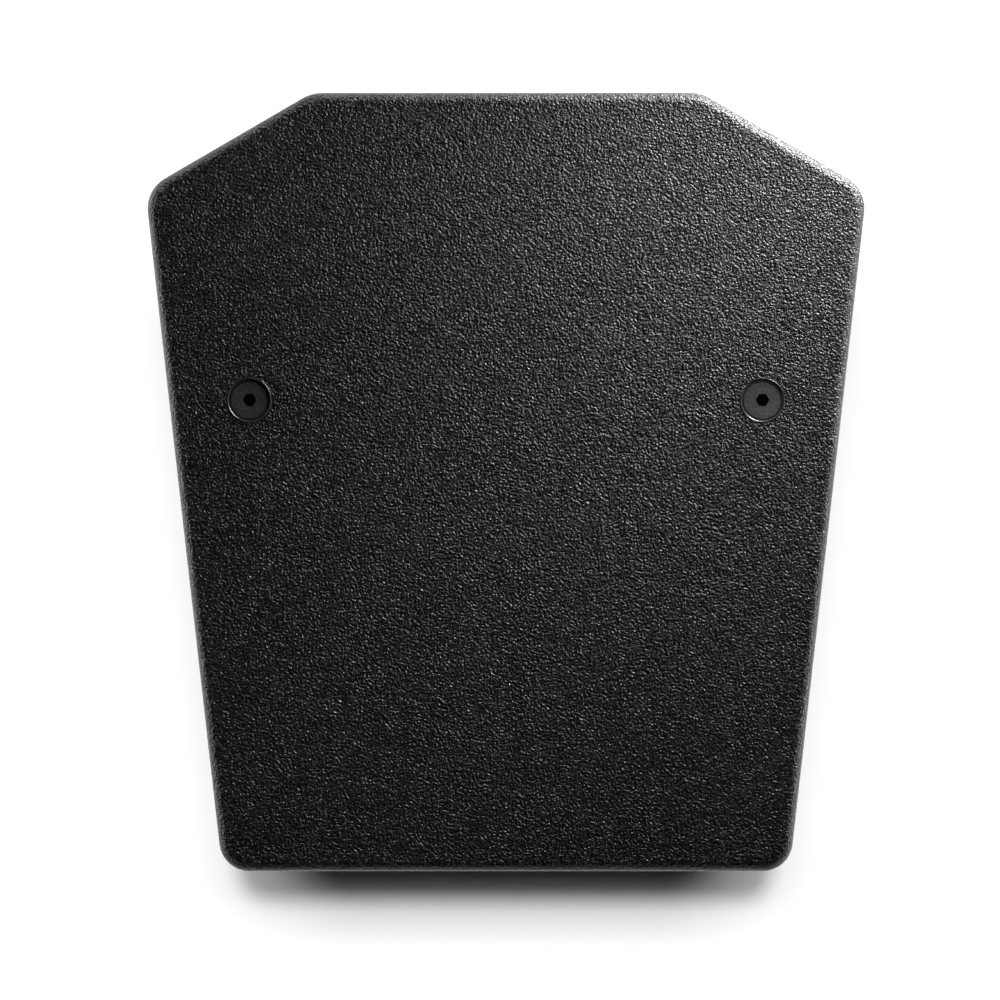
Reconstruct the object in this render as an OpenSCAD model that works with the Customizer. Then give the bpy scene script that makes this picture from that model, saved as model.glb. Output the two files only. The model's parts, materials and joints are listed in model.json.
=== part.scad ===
// Two-way public address loudspeaker cabinet: a birch plywood box with a faceted front, a folded
// steel grille, a 12 inch woofer and a horn-loaded compression driver.
// It stands upright on its feet. The front faces -Y, +Z is up, and the origin is the middle of the
// footprint at ground level. All sizes are in millimetres.

/* [Cabinet] */
// Depth of the cabinet, front edge to rear face
cab_d = 389; // [384:1:420]
// Width of the flat front facet at its sharp corners
front_w = 194.5; // [180:0.5:210]
// Width across the sharp shoulders, where the front facets meet the sides
shoulder_w = 360.8; // [360:0.2:380]
// Distance from the front edge back to the shoulders
shoulder_setback = 48.4; // [44:0.2:50]
// Width of the rear face at its sharp corners
rear_w = 283.5; // [276:0.5:300]
// Height of the wooden box, without its feet
box_h = 590; // [588:1:640]
// Rounding radius between the front facet and the chamfers
front_r = 20; // [10:1:30]
// Rounding radius of the shoulders
shoulder_r = 17.5; // [12:0.5:20]
// Rounding radius of the rear corners
rear_r = 15; // [10:0.5:18]
// Round-over radius along the top and bottom edges
edge_r = 5; // [3:0.5:8]

/* [Panels] */
// Thickness of the outer plywood panels
wall_t = 15; // [14:0.5:16]
// Thickness of the baffle that carries the drivers
baffle_t = 18; // [15:0.5:20]
// Distance from the front edge back to the face of the baffle
baffle_setback = 54; // [53:0.5:58]
// Thickness of the window brace
brace_t = 12; // [9:0.5:15]
// Width of the brace's rim around its window
brace_rim = 40; // [30:1:50]

/* [Grille] */
// Thickness of the grille's steel sheet
grille_t = 1.2; // [1:0.1:1.6]
// How far the grille's face lies behind the panel edges
grille_setback = 3.5; // [3:0.1:5]
// Width of the battens that carry the grille
batten_w = 8; // [7:0.5:8.5]
// Head diameter of the grille screws
grille_head_d = 6.4; // [5.6:0.2:6.6]
// Width of the plain border that the screws pass through
grille_margin = 9.5; // [9:0.5:14]
// Number of openings across the front facet
grille_front_n = 5; // [3:1:6]
// Number of openings across each slanted facet
grille_side_n = 2; // [1:1:3]
// Number of openings from the bottom to the top
grille_rows = 12; // [6:1:12]
// Width of the steel between two openings
grille_bar = 6; // [4:0.5:10]

/* [Rigging] */
// Distance from the side's outer face in to a rigging point of the top
rig_edge = 40.46; // [38:0.01:48]
// Distance from the front edge back to the rigging points of the top
rig_setback = 153.6; // [146:0.2:170]
// How far the rigging points of the bottom lie behind those of the top
rig_bottom_back = 10; // [6:1:20]
// Height of the rear rigging point below the top
rig_rear_drop = 82; // [60:1:100]
// Nominal thread diameter of the rigging points
rig_thread_d = 10; // [8:1:10]
// Head diameter of the countersunk rigging screws
rig_head_d = 19.5; // [18:0.5:20]
// Width of the visible ring between the screw head and the countersink's rim
rig_rim = 1; // [0.5:0.1:1.5]
// Overall length of the rigging screws
rig_screw_l = 26; // [20:1:30]
// Width across flats of the rigging screws' hexagon socket
rig_hex = 6; // [5:0.5:7]
// Barrel diameter of the threaded inserts
insert_d = 16; // [15:0.5:18]
// Flange diameter of the threaded inserts
insert_flange_d = 32; // [26:1:36]

/* [Woofer] */
// Width of the frame's flange that lies on the baffle
woofer_flange_w = 14; // [13:0.5:16]
// Thickness of the frame's flange
woofer_flange_t = 6; // [5:0.5:8]
// Depth of the frame behind the baffle's face
basket_depth = 74; // [70:1:84]
// Wall thickness of the cast frame
basket_t = 4; // [3:0.5:5]
// Width of the surround's half roll
roll_w = 15; // [12:0.5:18]
// Depth of the paper cone
cone_depth = 47; // [40:1:50]
// Diameter of the voice coil's former
coil_d = 76; // [65:1:80]
// Diameter of the dust cap
dust_cap_d = 100; // [90:1:120]
// Diameter of the magnet ring
magnet_d = 160; // [150:1:170]
// Thickness of the magnet ring
magnet_t = 20; // [16:1:24]
// Thickness of the magnet's front and back plates
plate_t = 8; // [6:0.5:10]
// Diameter of the vent through the pole piece
vent_d = 28; // [16:1:40]
// Least gap between the woofer's frame and the battens beside it
woofer_side = 2.6; // [2:0.1:6]
// Gap between the woofer's frame and the bottom panel
woofer_margin = 8; // [4:0.5:12]
// Gap between the woofer's frame and the brace above it
brace_gap = 4; // [3:0.5:10]
// Number of woofer screws
woofer_screw_n = 8; // [6:1:12]

/* [High frequency] */
// Side of the horn's square flange
horn_w = 200; // [190:1:202]
// Thickness of the horn's flange
horn_flange_t = 5; // [4:0.5:7]
// Width of the horn's mouth
mouth_w = 168; // [150:1:172]
// Height of the horn's mouth
mouth_h = 148; // [130:1:160]
// Depth of the horn, flange to throat
horn_depth = 100; // [90:1:110]
// Wall thickness of the horn
horn_t = 4; // [3:0.5:5]
// Diameter of the horn's throat
throat_d = 25.4; // [22:0.2:28]
// Gap between the horn's flange and the top panel
horn_margin = 12; // [8:0.5:16]
// Least gap between the horn's flange and the brace under it
horn_gap = 16; // [10:0.5:24]
// Diameter of the high-frequency driver's magnet
hf_magnet_d = 104; // [96:1:110]
// Thickness of the high-frequency driver's magnet
hf_magnet_t = 16; // [12:1:20]
// Thickness of the high-frequency driver's plates
hf_plate_t = 7; // [6:0.5:9]
// Diameter of the high-frequency voice coil
hf_coil_d = 44; // [42:0.5:46]
// Depth of the high-frequency driver's rear cover
hf_cover_h = 22; // [16:1:30]

/* [Ports] */
// Gap between a port's lip and the horn or the batten beside it
port_gap = 1.3; // [1:0.1:4]
// Width of the rounded lip around a port's mouth
port_lip = 3.5; // [2.5:0.5:4]
// Length of the bass reflex ports
port_l = 95; // [60:1:110]
// Wall thickness of the ports
port_t = 1.5; // [1:0.1:2]
// Distance between the upper and the lower port of a side
port_pitch = 90; // [70:1:120]

/* [Handles] */
// Length of the recessed handle's plate
handle_l = 160; // [150:1:180]
// Height of the recessed handle's plate
handle_h = 110; // [100:1:120]
// Thickness of the handle's plate and cup walls
handle_t = 2.5; // [2:0.5:3]
// Border of the plate around its cup
handle_border = 14; // [12:0.5:18]
// Depth of the handle's cup behind the plate
handle_depth = 55; // [48:1:60]
// Diameter of the handle's grip
grip_d = 22; // [18:1:26]
// Place of the handle along the side, behind the middle of the cabinet
handle_back = 42; // [35:1:50]
// Height of the handle's plate above the brace
handle_lift = 10; // [4:1:20]

/* [Input plate] */
// Width of the input plate
input_w = 150; // [136:1:160]
// Height of the input plate
input_h = 104; // [90:1:110]
// Thickness of the input plate's steel
input_t = 2; // [1.5:0.5:3]
// Depth of the input plate's recess
input_depth = 14; // [10:1:18]
// Border of the plate around its recess
input_border = 12; // [11:0.5:16]
// Height of the input plate's centre above the floor of the cabinet
input_lift = 107; // [100:1:130]
// Distance between the two speaker sockets
socket_pitch = 60; // [52:1:70]
// Diameter of the speaker sockets' mouths
socket_d = 23; // [20:0.5:24]
// Depth of the speaker sockets' mouths
socket_depth = 18; // [14:1:22]

/* [Crossover] */
// Width of the crossover board
board_w = 150; // [140:1:170]
// Depth of the crossover board
board_d = 90; // [84:1:100]
// Gap between the board and the rear panel
board_gap = 14; // [8:1:24]
// Height of the standoffs under the board
standoff_h = 8; // [6:1:12]
// Outer diameter of the air-core coils
air_coil_d = 50; // [40:1:52]

/* [Feet and pole socket] */
// Height of the rubber feet
foot_h = 8; // [6:0.5:12]
// Diameter of the rubber feet
foot_d = 38; // [30:1:44]
// Diameter of the pole socket's bore
pole_d = 36; // [35.5:0.1:37]
// Depth of the pole socket's bore
pole_l = 80; // [60:1:90]
// Wall thickness of the pole socket's tube
pole_t = 2; // [1.5:0.5:3]
// Diameter of the pole socket's flange
pole_flange_d = 90; // [80:1:100]
// Place of the pole socket behind the middle of the cabinet
pole_back = 18; // [14:1:24]

/* [Lining and leads] */
// Thickness of the damping lining
lining_t = 20; // [10:1:24]
// Diameter of the internal leads
lead_d = 6; // [4:0.5:6.5]

/* [Fits] */
// Gap between parts that are set into each other
fit = 0.3; // [0.2:0.05:0.4]
// Gap that a screw has in its clearance hole, on the radius
screw_fit = 0.3; // [0.2:0.05:0.4]

/* [Hidden] */
$fn = 64;
eps = 0.5;          // overshoot of every cutting tool
arc_steps = 8;      // straight pieces along each rounded corner

// Colours
coat = [0.09, 0.09, 0.095];
ply = [0.78, 0.64, 0.44];
steel_black = [0.12, 0.12, 0.125];
zinc = [0.7, 0.71, 0.72];
cast = [0.2, 0.2, 0.21];
ferrite = [0.16, 0.16, 0.17];
plastic_black = [0.1, 0.1, 0.1];
paper = [0.13, 0.13, 0.13];
rubber = [0.07, 0.07, 0.07];
copper = [0.72, 0.42, 0.24];
board_green = [0.1, 0.28, 0.16];
felt = [0.55, 0.55, 0.52];

// Heights
z_base = foot_h;                        // underside of the box
z_floor = z_base + wall_t;              // inner face of the bottom panel
z_top = z_base + box_h;                 // top face
z_ceiling = z_top - wall_t;             // inner face of the top panel
horn_z = z_ceiling - horn_margin - horn_w / 2;
input_z = z_floor + input_lift;

// Plan
y_front = -cab_d / 2;
y_rear = cab_d / 2;
y_shoulder = y_front + shoulder_setback;
y_baffle = y_front + baffle_setback;
y_baffle_back = y_baffle + baffle_t;
y_rear_inner = y_rear - wall_t;
y_rig = y_front + rig_setback;
y_rig_bottom = y_rig + rig_bottom_back;
taper = atan((shoulder_w - rear_w) / 2 / (y_rear - y_shoulder));
facet = atan(shoulder_setback * 2 / (shoulder_w - front_w));
corners = [
    [front_w / 2, y_front], [shoulder_w / 2, y_shoulder], [rear_w / 2, y_rear],
    [-rear_w / 2, y_rear], [-shoulder_w / 2, y_shoulder], [-front_w / 2, y_front]
];
radii = [front_r, shoulder_r, rear_r, rear_r, shoulder_r, front_r];
baffle_half = inner_x(y_baffle);
baffle_free = baffle_half - batten_w / cos(taper);     // half width between the battens
rig_x = outer_x(y_rig) - rig_edge;
grille_back = grille_setback + grille_t;

// The woofer fills the width between the battens, or the height that the horn and brace leave it
woofer_r = min(
    baffle_free - woofer_side,
    (z_ceiling - z_floor - woofer_margin - brace_gap - brace_t - horn_gap - horn_w - horn_margin) / 2
);
basket_r = woofer_r - woofer_flange_w;  // barrel that passes through the baffle
woofer_z = z_floor + woofer_margin + woofer_r;
brace_z = woofer_z + woofer_r + brace_gap;
handle_z = brace_z + brace_t + handle_lift + handle_h / 2;

// The ports fill the width between the horn and the battens
port_x = (horn_w / 2 + baffle_free) / 2;
port_lip_r = (baffle_free - horn_w / 2) / 2 - port_gap;
port_r = port_lip_r - port_lip - port_t;

// Shared hardware
m5_r = 2.5;
m5_head_r = 4.2;
m5_head_h = 4;
m4_r = 2;
m3_r = 1.5;

// ---- Geometry helpers ----

function unit(v) = v / norm(v);
function left_of(v) = [-v[1], v[0]];
function prev_normal(i) = left_of(unit(corners[i] - corners[(i + 5) % 6]));
function next_normal(i) = left_of(unit(corners[(i + 1) % 6] - corners[i]));
// Where the edges at corner i meet, once the edge before has moved in by a and the next by b
function inset_corner(i, a, b) =
    let (m = prev_normal(i), n = next_normal(i), k = m * n)
    corners[i] + (m * (a - k * b) + n * (b - k * a)) / (1 - k * k);
// Rounded corner i as points, moved in by d
function corner_arc(i, d) =
    let (
        centre = inset_corner(i, radii[i], radii[i]),
        m = prev_normal(i),
        turn = acos(m * next_normal(i)),
        start = atan2(-m[1], -m[0])
    )
    [for (s = [0 : arc_steps])
        centre + (radii[i] - d) * [cos(start + turn * s / arc_steps), sin(start + turn * s / arc_steps)]];
// The cabinet's plan outline, moved in by d
function outline(d) = [for (i = [0 : 5]) each corner_arc(i, d)];
// Half width of the cabinet's outside and inside at depth y
function outer_x(y) = shoulder_w / 2 - tan(taper) * (y - y_shoulder);
function inner_x(y) = outer_x(y) - wall_t / cos(taper);
function at_height(points, z) = [for (p = points) [p[0], p[1], z]];
function rounded_rect(w, h, r) =
    [for (q = [0 : 3]) for (s = [0 : arc_steps])
        let (
            a = 90 * q + 90 * s / arc_steps,
            cx = (q == 0 || q == 3) ? w / 2 - r : r - w / 2,
            cy = q < 2 ? h / 2 - r : r - h / 2
        )
        [cx + r * cos(a), cy + r * sin(a)]];
// Catmull-Rom curve through the points p, with n steps between neighbours
function smooth(p, n) =
    [for (i = [0 : len(p) - 2]) for (s = [0 : (i == len(p) - 2 ? n : n - 1)])
        let (
            t = s / n,
            a = p[max(i - 1, 0)],
            b = p[i],
            c = p[i + 1],
            d = p[min(i + 2, len(p) - 1)]
        )
        b + 0.5 * t * (c - a + t * (2 * a - 5 * b + 4 * c - d + t * (3 * b - a - 3 * c + d)))];
function ring_at(path, k, r, sides) =
    let (
        t = unit(path[min(k + 1, len(path) - 1)] - path[max(k - 1, 0)]),
        u = unit(cross(t, [0.31, 0.83, 0.47])),
        v = cross(t, u)
    )
    [for (i = [0 : sides - 1]) path[k] + r * (u * cos(360 * i / sides) + v * sin(360 * i / sides))];

// Skin over rings of points, each counter-clockwise about the way from the first to the last
module loft(rings, looped = false) {
    n = len(rings[0]);
    m = len(rings);
    sides = [for (k = [0 : m - (looped ? 1 : 2)]) for (i = [0 : n - 1])
        [k * n + i, (k + 1) % m * n + i, (k + 1) % m * n + (i + 1) % n, k * n + (i + 1) % n]];
    first = [for (i = [0 : n - 1]) i];
    last = [for (i = [n - 1 : -1 : 0]) (m - 1) * n + i];
    polyhedron(points = [for (r = rings) each r], faces = looped ? sides : concat(sides, [first, last]));
}

module tube_along(points, d) {
    path = smooth(points, 4);
    loft([for (k = [0 : len(path) - 1]) ring_at(path, k, d / 2, 8)]);
}

module plate(points, t) {
    linear_extrude(t) polygon(points);
}

module ring(outer_r, inner_r, h) {
    difference() {
        cylinder(h = h, r = outer_r);
        translate([0, 0, -eps]) cylinder(h = h + 2 * eps, r = inner_r);
    }
}

module mirrored() {
    children();
    mirror([1, 0, 0]) children();
}

// Local frame on the baffle's face at height z: local +Z points to the front, +Y up
module on_baffle(z) {
    translate([0, y_baffle, z]) rotate([90, 0, 0]) children();
}

// Local frame on the rear face at height z: local +Z points out to the rear, +Y up
module on_rear(z) {
    translate([0, y_rear, z]) rotate([90, 0, 180]) children();
}

// Local frame on the right side's outer face: +X points out, +Y to the rear along the side
module on_side(y, z) {
    translate([outer_x(y), y, z]) rotate([0, 0, taper]) children();
}

// Pan-head screw along -Z from the origin, which is under its head
module pan_screw(r, l, head_r, head_h) {
    drive_r = head_r * 0.35;
    difference() {
        union() {
            translate([0, 0, -l]) cylinder(h = l + eps, r = r);
            cylinder(h = head_h, r = head_r);
        }
        translate([0, 0, head_h / 2]) cylinder(h = head_h, r = drive_r, $fn = 6);
    }
}

// ---- Plywood box ----

module end_panel() {
    steps = 6;
    loft(concat(
        [at_height(outline(0), 0)],
        [for (s = [0 : steps])
            at_height(outline(edge_r * (1 - cos(90 * s / steps))), wall_t - edge_r * (1 - sin(90 * s / steps)))]
    ));
}

rig_rim_r = rig_head_d / 2 + rig_rim;
rig_mouth_r = insert_d / 2 - 1;
rig_seat = rig_rim_r - rig_mouth_r;     // depth of the panel's countersink

// Hole for a rigging insert. Local +Z points out of the panel, whose outer face is at 0
module rigging_hole() {
    translate([0, 0, -rig_seat]) cylinder(h = rig_seat, r1 = rig_mouth_r, r2 = rig_rim_r);
    cylinder(h = eps, r = rig_rim_r);
    translate([0, 0, -wall_t - eps]) cylinder(h = wall_t + eps - rig_seat, r = insert_d / 2 + 0.05);
}

module at_rig_points(y) {
    for (side = [-1, 1]) translate([side * rig_x, y, 0]) children();
}

module top_panel() {
    color(coat) difference() {
        translate([0, 0, z_ceiling]) end_panel();
        translate([0, 0, z_top]) at_rig_points(y_rig) rigging_hole();
    }
}

module bottom_panel() {
    color(coat) difference() {
        translate([0, 0, z_floor]) mirror([0, 0, 1]) end_panel();
        translate([0, 0, z_base]) mirror([0, 0, 1]) at_rig_points(y_rig_bottom) rigging_hole();
        translate([0, pole_back, z_base - eps]) cylinder(h = wall_t + 2 * eps, r = pole_d / 2 + pole_t + fit);
        translate([0, 0, z_base - eps]) {
            at_pole_screws() cylinder(h = 11 + eps, r = m5_r + 0.05);
            at_feet() cylinder(h = 11 + eps, r = m5_r + 0.05);
        }
    }
}

handle_cut_l = handle_l - 2 * handle_border;
handle_cut_h = handle_h - 2 * handle_border;
handle_corner_r = 16;

module side_panel() {
    reach = 60;
    n = next_normal(1);
    along = unit(corners[2] - corners[1]);
    strip = [
        corners[1] - along * reach - n * wall_t, corners[2] + along * reach - n * wall_t,
        corners[2] + along * reach + n * wall_t, corners[1] - along * reach + n * wall_t
    ];
    difference() {
        translate([0, 0, z_floor]) linear_extrude(z_ceiling - z_floor) intersection() {
            polygon(outline(0));
            polygon(strip);
        }
        on_side(handle_back, handle_z) rotate([0, 90, 0]) translate([0, 0, -wall_t - eps])
            plate(rounded_rect(handle_cut_h, handle_cut_l, handle_corner_r), wall_t + 2 * eps);
        on_side(handle_back, handle_z) rotate([0, 90, 0]) at_handle_screws() translate([0, 0, -wall_t + 2])
            cylinder(h = wall_t, r = m4_r + 0.05);
    }
}

module side_panel_right() {
    color(coat) side_panel();
}

module side_panel_left() {
    color(coat) mirror([1, 0, 0]) side_panel();
}

module rear_panel() {
    color(coat) difference() {
        translate([0, 0, z_floor]) plate([
            [-inner_x(y_rear_inner), y_rear_inner], [inner_x(y_rear_inner), y_rear_inner],
            [inner_x(y_rear), y_rear], [-inner_x(y_rear), y_rear]
        ], z_ceiling - z_floor);
        on_rear(input_z) translate([0, 0, -input_t - input_recess])
            plate(rounded_rect(input_w + 2 * fit, input_h + 2 * fit, 6), input_t + input_recess + eps);
        on_rear(input_z) at_input_screws() translate([0, 0, -wall_t + 1]) cylinder(h = wall_t, r = m4_r + 0.05);
        on_rear(input_z) translate([0, 0, -wall_t - eps])
            plate(rounded_rect(tray_w + 2 * fit, tray_h + 2 * fit, 6), wall_t + 2 * eps);
        on_rear(z_top - rig_rear_drop) rigging_hole();
    }
}

module baffle() {
    color(coat) difference() {
        translate([0, 0, z_floor]) plate([
            [-inner_x(y_baffle), y_baffle], [inner_x(y_baffle), y_baffle],
            [inner_x(y_baffle_back), y_baffle_back], [-inner_x(y_baffle_back), y_baffle_back]
        ], z_ceiling - z_floor);
        on_baffle(woofer_z) {
            translate([0, 0, -baffle_t - eps]) cylinder(h = baffle_t + 2 * eps, r = basket_r + fit);
            at_woofer_screws() translate([0, 0, -baffle_t - eps])
                cylinder(h = baffle_t + 2 * eps, r = tee_r + 0.05);
        }
        on_baffle(horn_z) {
            translate([0, 0, -baffle_t - eps])
                plate(rounded_rect(horn_cut, horn_cut, 20), baffle_t + 2 * eps);
            at_horn_screws() translate([0, 0, -baffle_t + 2]) cylinder(h = baffle_t, r = m5_r + 0.05);
        }
        at_ports() translate([0, 0, -baffle_t - eps])
            cylinder(h = baffle_t + 2 * eps, r = port_r + port_t + fit);
    }
}

module window_brace() {
    y_near = y_baffle_back + brace_rim;
    y_far = y_rear_inner - brace_rim;
    color(ply) translate([0, 0, brace_z]) difference() {
        plate([
            [-inner_x(y_baffle_back), y_baffle_back], [inner_x(y_baffle_back), y_baffle_back],
            [inner_x(y_rear_inner), y_rear_inner], [-inner_x(y_rear_inner), y_rear_inner]
        ], brace_t);
        translate([0, 0, -eps]) plate([
            [brace_rim - inner_x(y_near), y_near], [inner_x(y_near) - brace_rim, y_near],
            [inner_x(y_far) - brace_rim, y_far], [brace_rim - inner_x(y_far), y_far]
        ], brace_t + 2 * eps);
    }
}

// ---- Grille ----

grille_path_out = concat(
    [inset_corner(4, wall_t + fit, grille_setback)], corner_arc(5, grille_setback),
    corner_arc(0, grille_setback), [inset_corner(1, grille_setback, wall_t + fit)]
);
grille_path_in = concat(
    [inset_corner(4, wall_t + fit, grille_back)], corner_arc(5, grille_back),
    corner_arc(0, grille_back), [inset_corner(1, grille_back, wall_t + fit)]
);

// Plan position and height of each grille screw on the right half, with its facet's angle.
// A side screw stands as far from the side panel as its head needs
grille_head_h = grille_setback / 2;
grille_screw_l = grille_t + 5.3;
lean = facet - taper;
head_room = grille_head_d / 2 * cos(lean) + (grille_t + grille_head_h) * sin(lean) + fit;
side_screw = inset_corner(1, grille_back, wall_t + head_room);
grille_screw_places = [
    for (z = [z_floor + 40, (z_floor + z_ceiling) / 2, z_ceiling - 40]) [side_screw[0], side_screw[1], z, facet],
    for (z = [z_floor + batten_w / 2, z_ceiling - batten_w / 2]) [front_w / 4, y_front + grille_back, z, 0]
];

module at_grille_screws() {
    mirrored() for (p = grille_screw_places)
        translate([p[0], p[1], p[2]]) rotate([0, 0, p[3]]) rotate([90, 0, 0]) children();
}

// Grid of n by grille_rows openings in a facet w wide. Local +Z points out of the facet
module grille_openings(w, n) {
    pitch_x = w / n;
    pitch_z = (z_ceiling - z_floor - 2 * grille_margin) / grille_rows;
    for (i = [0 : n - 1], j = [0 : grille_rows - 1])
        translate([(i + 0.5 - n / 2) * pitch_x, (j + 0.5 - grille_rows / 2) * pitch_z, 0])
            cube([pitch_x - grille_bar, pitch_z - grille_bar, 4 * grille_t], center = true);
}

module grille() {
    z_mid = (z_floor + z_ceiling) / 2;
    along = [cos(facet), sin(facet)];
    fold = inset_corner(0, grille_setback, grille_setback);
    fold_l = (front_r - grille_setback) * tan(facet / 2);
    from = fold + along * fold_l;
    to = inset_corner(1, grille_setback, wall_t + fit) - along * grille_margin;
    centre = (from + to) / 2;
    color(steel_black) difference() {
        translate([0, 0, z_floor + fit])
            plate(concat(grille_path_out, [for (i = [len(grille_path_in) - 1 : -1 : 0]) grille_path_in[i]]),
                z_ceiling - z_floor - 2 * fit);
        at_grille_screws() translate([0, 0, -eps]) cylinder(h = grille_t + 2 * eps, r = m3_r + screw_fit);
        translate([0, fold[1], z_mid]) rotate([90, 0, 0]) grille_openings(2 * (fold[0] - fold_l), grille_front_n);
        mirrored() translate([centre[0], centre[1], z_mid]) rotate([0, 0, facet]) rotate([90, 0, 0])
            grille_openings(norm(to - from), grille_side_n);
    }
}

module grille_battens() {
    a = inset_corner(1, grille_back, wall_t);
    b = inset_corner(1, grille_back, wall_t + batten_w);
    side_w = batten_w / cos(taper);
    color(ply) difference() {
        union() {
            mirrored() translate([0, 0, z_floor])
                plate([a, [baffle_half, y_baffle], [baffle_half - side_w, y_baffle], b], z_ceiling - z_floor);
            for (z = [z_floor, z_ceiling - batten_w]) translate([-front_w * 0.4, y_front + grille_back, z])
                cube([front_w * 0.8, 2 * batten_w, batten_w]);
        }
        at_grille_screws() translate([0, 0, -2 * batten_w - eps])
            cylinder(h = 2 * (batten_w + eps), r = m3_r + 0.05);
    }
}

module grille_screws() {
    color(steel_black) at_grille_screws() translate([0, 0, grille_t])
        pan_screw(m3_r, grille_screw_l, grille_head_d / 2, grille_head_h);
}

// ---- Rigging ----

// Threaded insert seated from inside. Local +Z points out of the panel, whose outer face is at 0
module rigging_insert() {
    thread_r = rig_thread_d / 2;
    flange_t = 2;
    cone_h = rig_mouth_r - thread_r;
    difference() {
        union() {
            translate([0, 0, -wall_t]) cylinder(h = wall_t - rig_seat, r = insert_d / 2);
            translate([0, 0, -wall_t - flange_t]) cylinder(h = flange_t, r = insert_flange_d / 2);
        }
        translate([0, 0, -wall_t - flange_t - eps]) cylinder(h = wall_t + flange_t + 2 * eps, r = thread_r);
        translate([0, 0, -rig_seat - cone_h]) cylinder(h = cone_h, r1 = thread_r, r2 = rig_mouth_r);
    }
}

// Countersunk screw with a hexagon socket, in the hole's own frame
module rigging_screw() {
    recess = rig_rim * 0.4;
    land = rig_rim * 0.5;
    shank_r = rig_thread_d / 2 - 0.1;
    head_r = rig_head_d / 2;
    cone_h = head_r - shank_r;
    socket_deep = rig_screw_l * 0.2;
    translate([0, 0, -recess]) difference() {
        union() {
            translate([0, 0, -land]) cylinder(h = land, r = head_r);
            translate([0, 0, -land - cone_h]) cylinder(h = cone_h, r1 = shank_r, r2 = head_r);
            translate([0, 0, -rig_screw_l]) cylinder(h = rig_screw_l - land, r = shank_r);
        }
        translate([0, 0, -socket_deep]) cylinder(h = socket_deep + eps, d = rig_hex / cos(30), $fn = 6);
    }
}

module rigging_inserts() {
    color(zinc) {
        translate([0, 0, z_top]) at_rig_points(y_rig) rigging_insert();
        translate([0, 0, z_base]) mirror([0, 0, 1]) at_rig_points(y_rig_bottom) rigging_insert();
        on_rear(z_top - rig_rear_drop) rigging_insert();
    }
}

module rigging_screws() {
    color(steel_black) {
        translate([0, 0, z_top]) at_rig_points(y_rig) rigging_screw();
        on_rear(z_top - rig_rear_drop) rigging_screw();
    }
}

// ---- Feet and pole socket ----

pole_flange_t = 2.5;
pole_screw_circle = (pole_d / 2 + pole_t + pole_flange_d / 2) / 2;
foot_web = 3;       // rubber left above the counterbore for the foot's screw

module at_pole_screws() {
    for (i = [0 : 3]) translate([0, pole_back, 0]) rotate(45 + 90 * i) translate([pole_screw_circle, 0, 0])
        children();
}

module at_feet() {
    for (side = [-1, 1]) {
        translate([side * (front_w / 2 + 10), y_front + 60, 0]) children();
        translate([side * (rear_w / 2 - 36), y_rear - 38, 0]) children();
    }
}

module pole_socket() {
    tube_r = pole_d / 2 + pole_t;
    color(steel_black) translate([0, 0, z_base - pole_flange_t]) difference() {
        translate([0, pole_back, 0]) union() {
            cylinder(h = pole_flange_t, r = pole_flange_d / 2);
            cylinder(h = pole_l + pole_t, r = tube_r);
        }
        translate([0, pole_back, -eps]) cylinder(h = pole_l + eps, r = pole_d / 2);
        at_pole_screws() translate([0, 0, -eps]) cylinder(h = pole_flange_t + 2 * eps, r = m5_r + screw_fit);
    }
}

module pole_socket_screws() {
    color(steel_black) translate([0, 0, z_base - pole_flange_t]) mirror([0, 0, 1]) at_pole_screws()
        pan_screw(m5_r, pole_flange_t + 10, m5_head_r, foot_h * 0.35);
}

module feet() {
    color(rubber) at_feet() difference() {
        cylinder(h = foot_h, r1 = foot_d / 2 - 2, r2 = foot_d / 2);
        translate([0, 0, -eps]) cylinder(h = foot_h - foot_web + eps, r = m5_head_r + 1.5);
        cylinder(h = foot_h + eps, r = m5_r + screw_fit);
    }
}

module foot_screws() {
    color(zinc) translate([0, 0, foot_h - foot_web]) mirror([0, 0, 1]) at_feet()
        pan_screw(m5_r, foot_web + 10, m5_head_r, 2.4);
}

// ---- Handles ----

cup_l = handle_cut_l - 2 * fit;
cup_h = handle_cut_h - 2 * fit;

module at_handle_screws() {
    edge = handle_border / 2;
    for (u = [-1, 1], v = [-1, 1]) translate([u * (handle_h / 2 - edge), v * (handle_l / 2 - edge), 0]) children();
}

module handle_cup() {
    on_side(handle_back, handle_z) rotate([0, 90, 0]) difference() {
        union() {
            plate(rounded_rect(handle_h, handle_l, handle_corner_r), handle_t);
            translate([0, 0, -handle_depth]) plate(rounded_rect(cup_h, cup_l, handle_corner_r), handle_depth + eps);
        }
        translate([0, 0, handle_t - handle_depth])
            plate(rounded_rect(cup_h - 2 * handle_t, cup_l - 2 * handle_t, handle_corner_r - handle_t), handle_depth + 1);
        at_handle_screws() translate([0, 0, -eps]) cylinder(h = handle_t + 2 * eps, r = m4_r + screw_fit);
    }
}

module handle_cup_right() {
    color(plastic_black) handle_cup();
}

module handle_cup_left() {
    color(plastic_black) mirror([1, 0, 0]) handle_cup();
}

module handle_bars() {
    bar_l = cup_l - 2 * handle_t;
    color(rubber) mirrored() on_side(handle_back, handle_z) translate([-grip_d / 2 - 3, -bar_l / 2, 0])
        rotate([-90, 0, 0]) cylinder(h = bar_l, r = grip_d / 2);
}

module handle_screws() {
    color(steel_black) mirrored() on_side(handle_back, handle_z) rotate([0, 90, 0]) translate([0, 0, handle_t])
        at_handle_screws() pan_screw(m4_r, handle_t + wall_t - 3, 3.8, 2.2);
}

// ---- Ports ----

module at_ports() {
    for (side = [-1, 1], level = [-1, 1])
        on_baffle(horn_z + level * port_pitch / 2) translate([side * port_x, 0, 0]) children();
}

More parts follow.
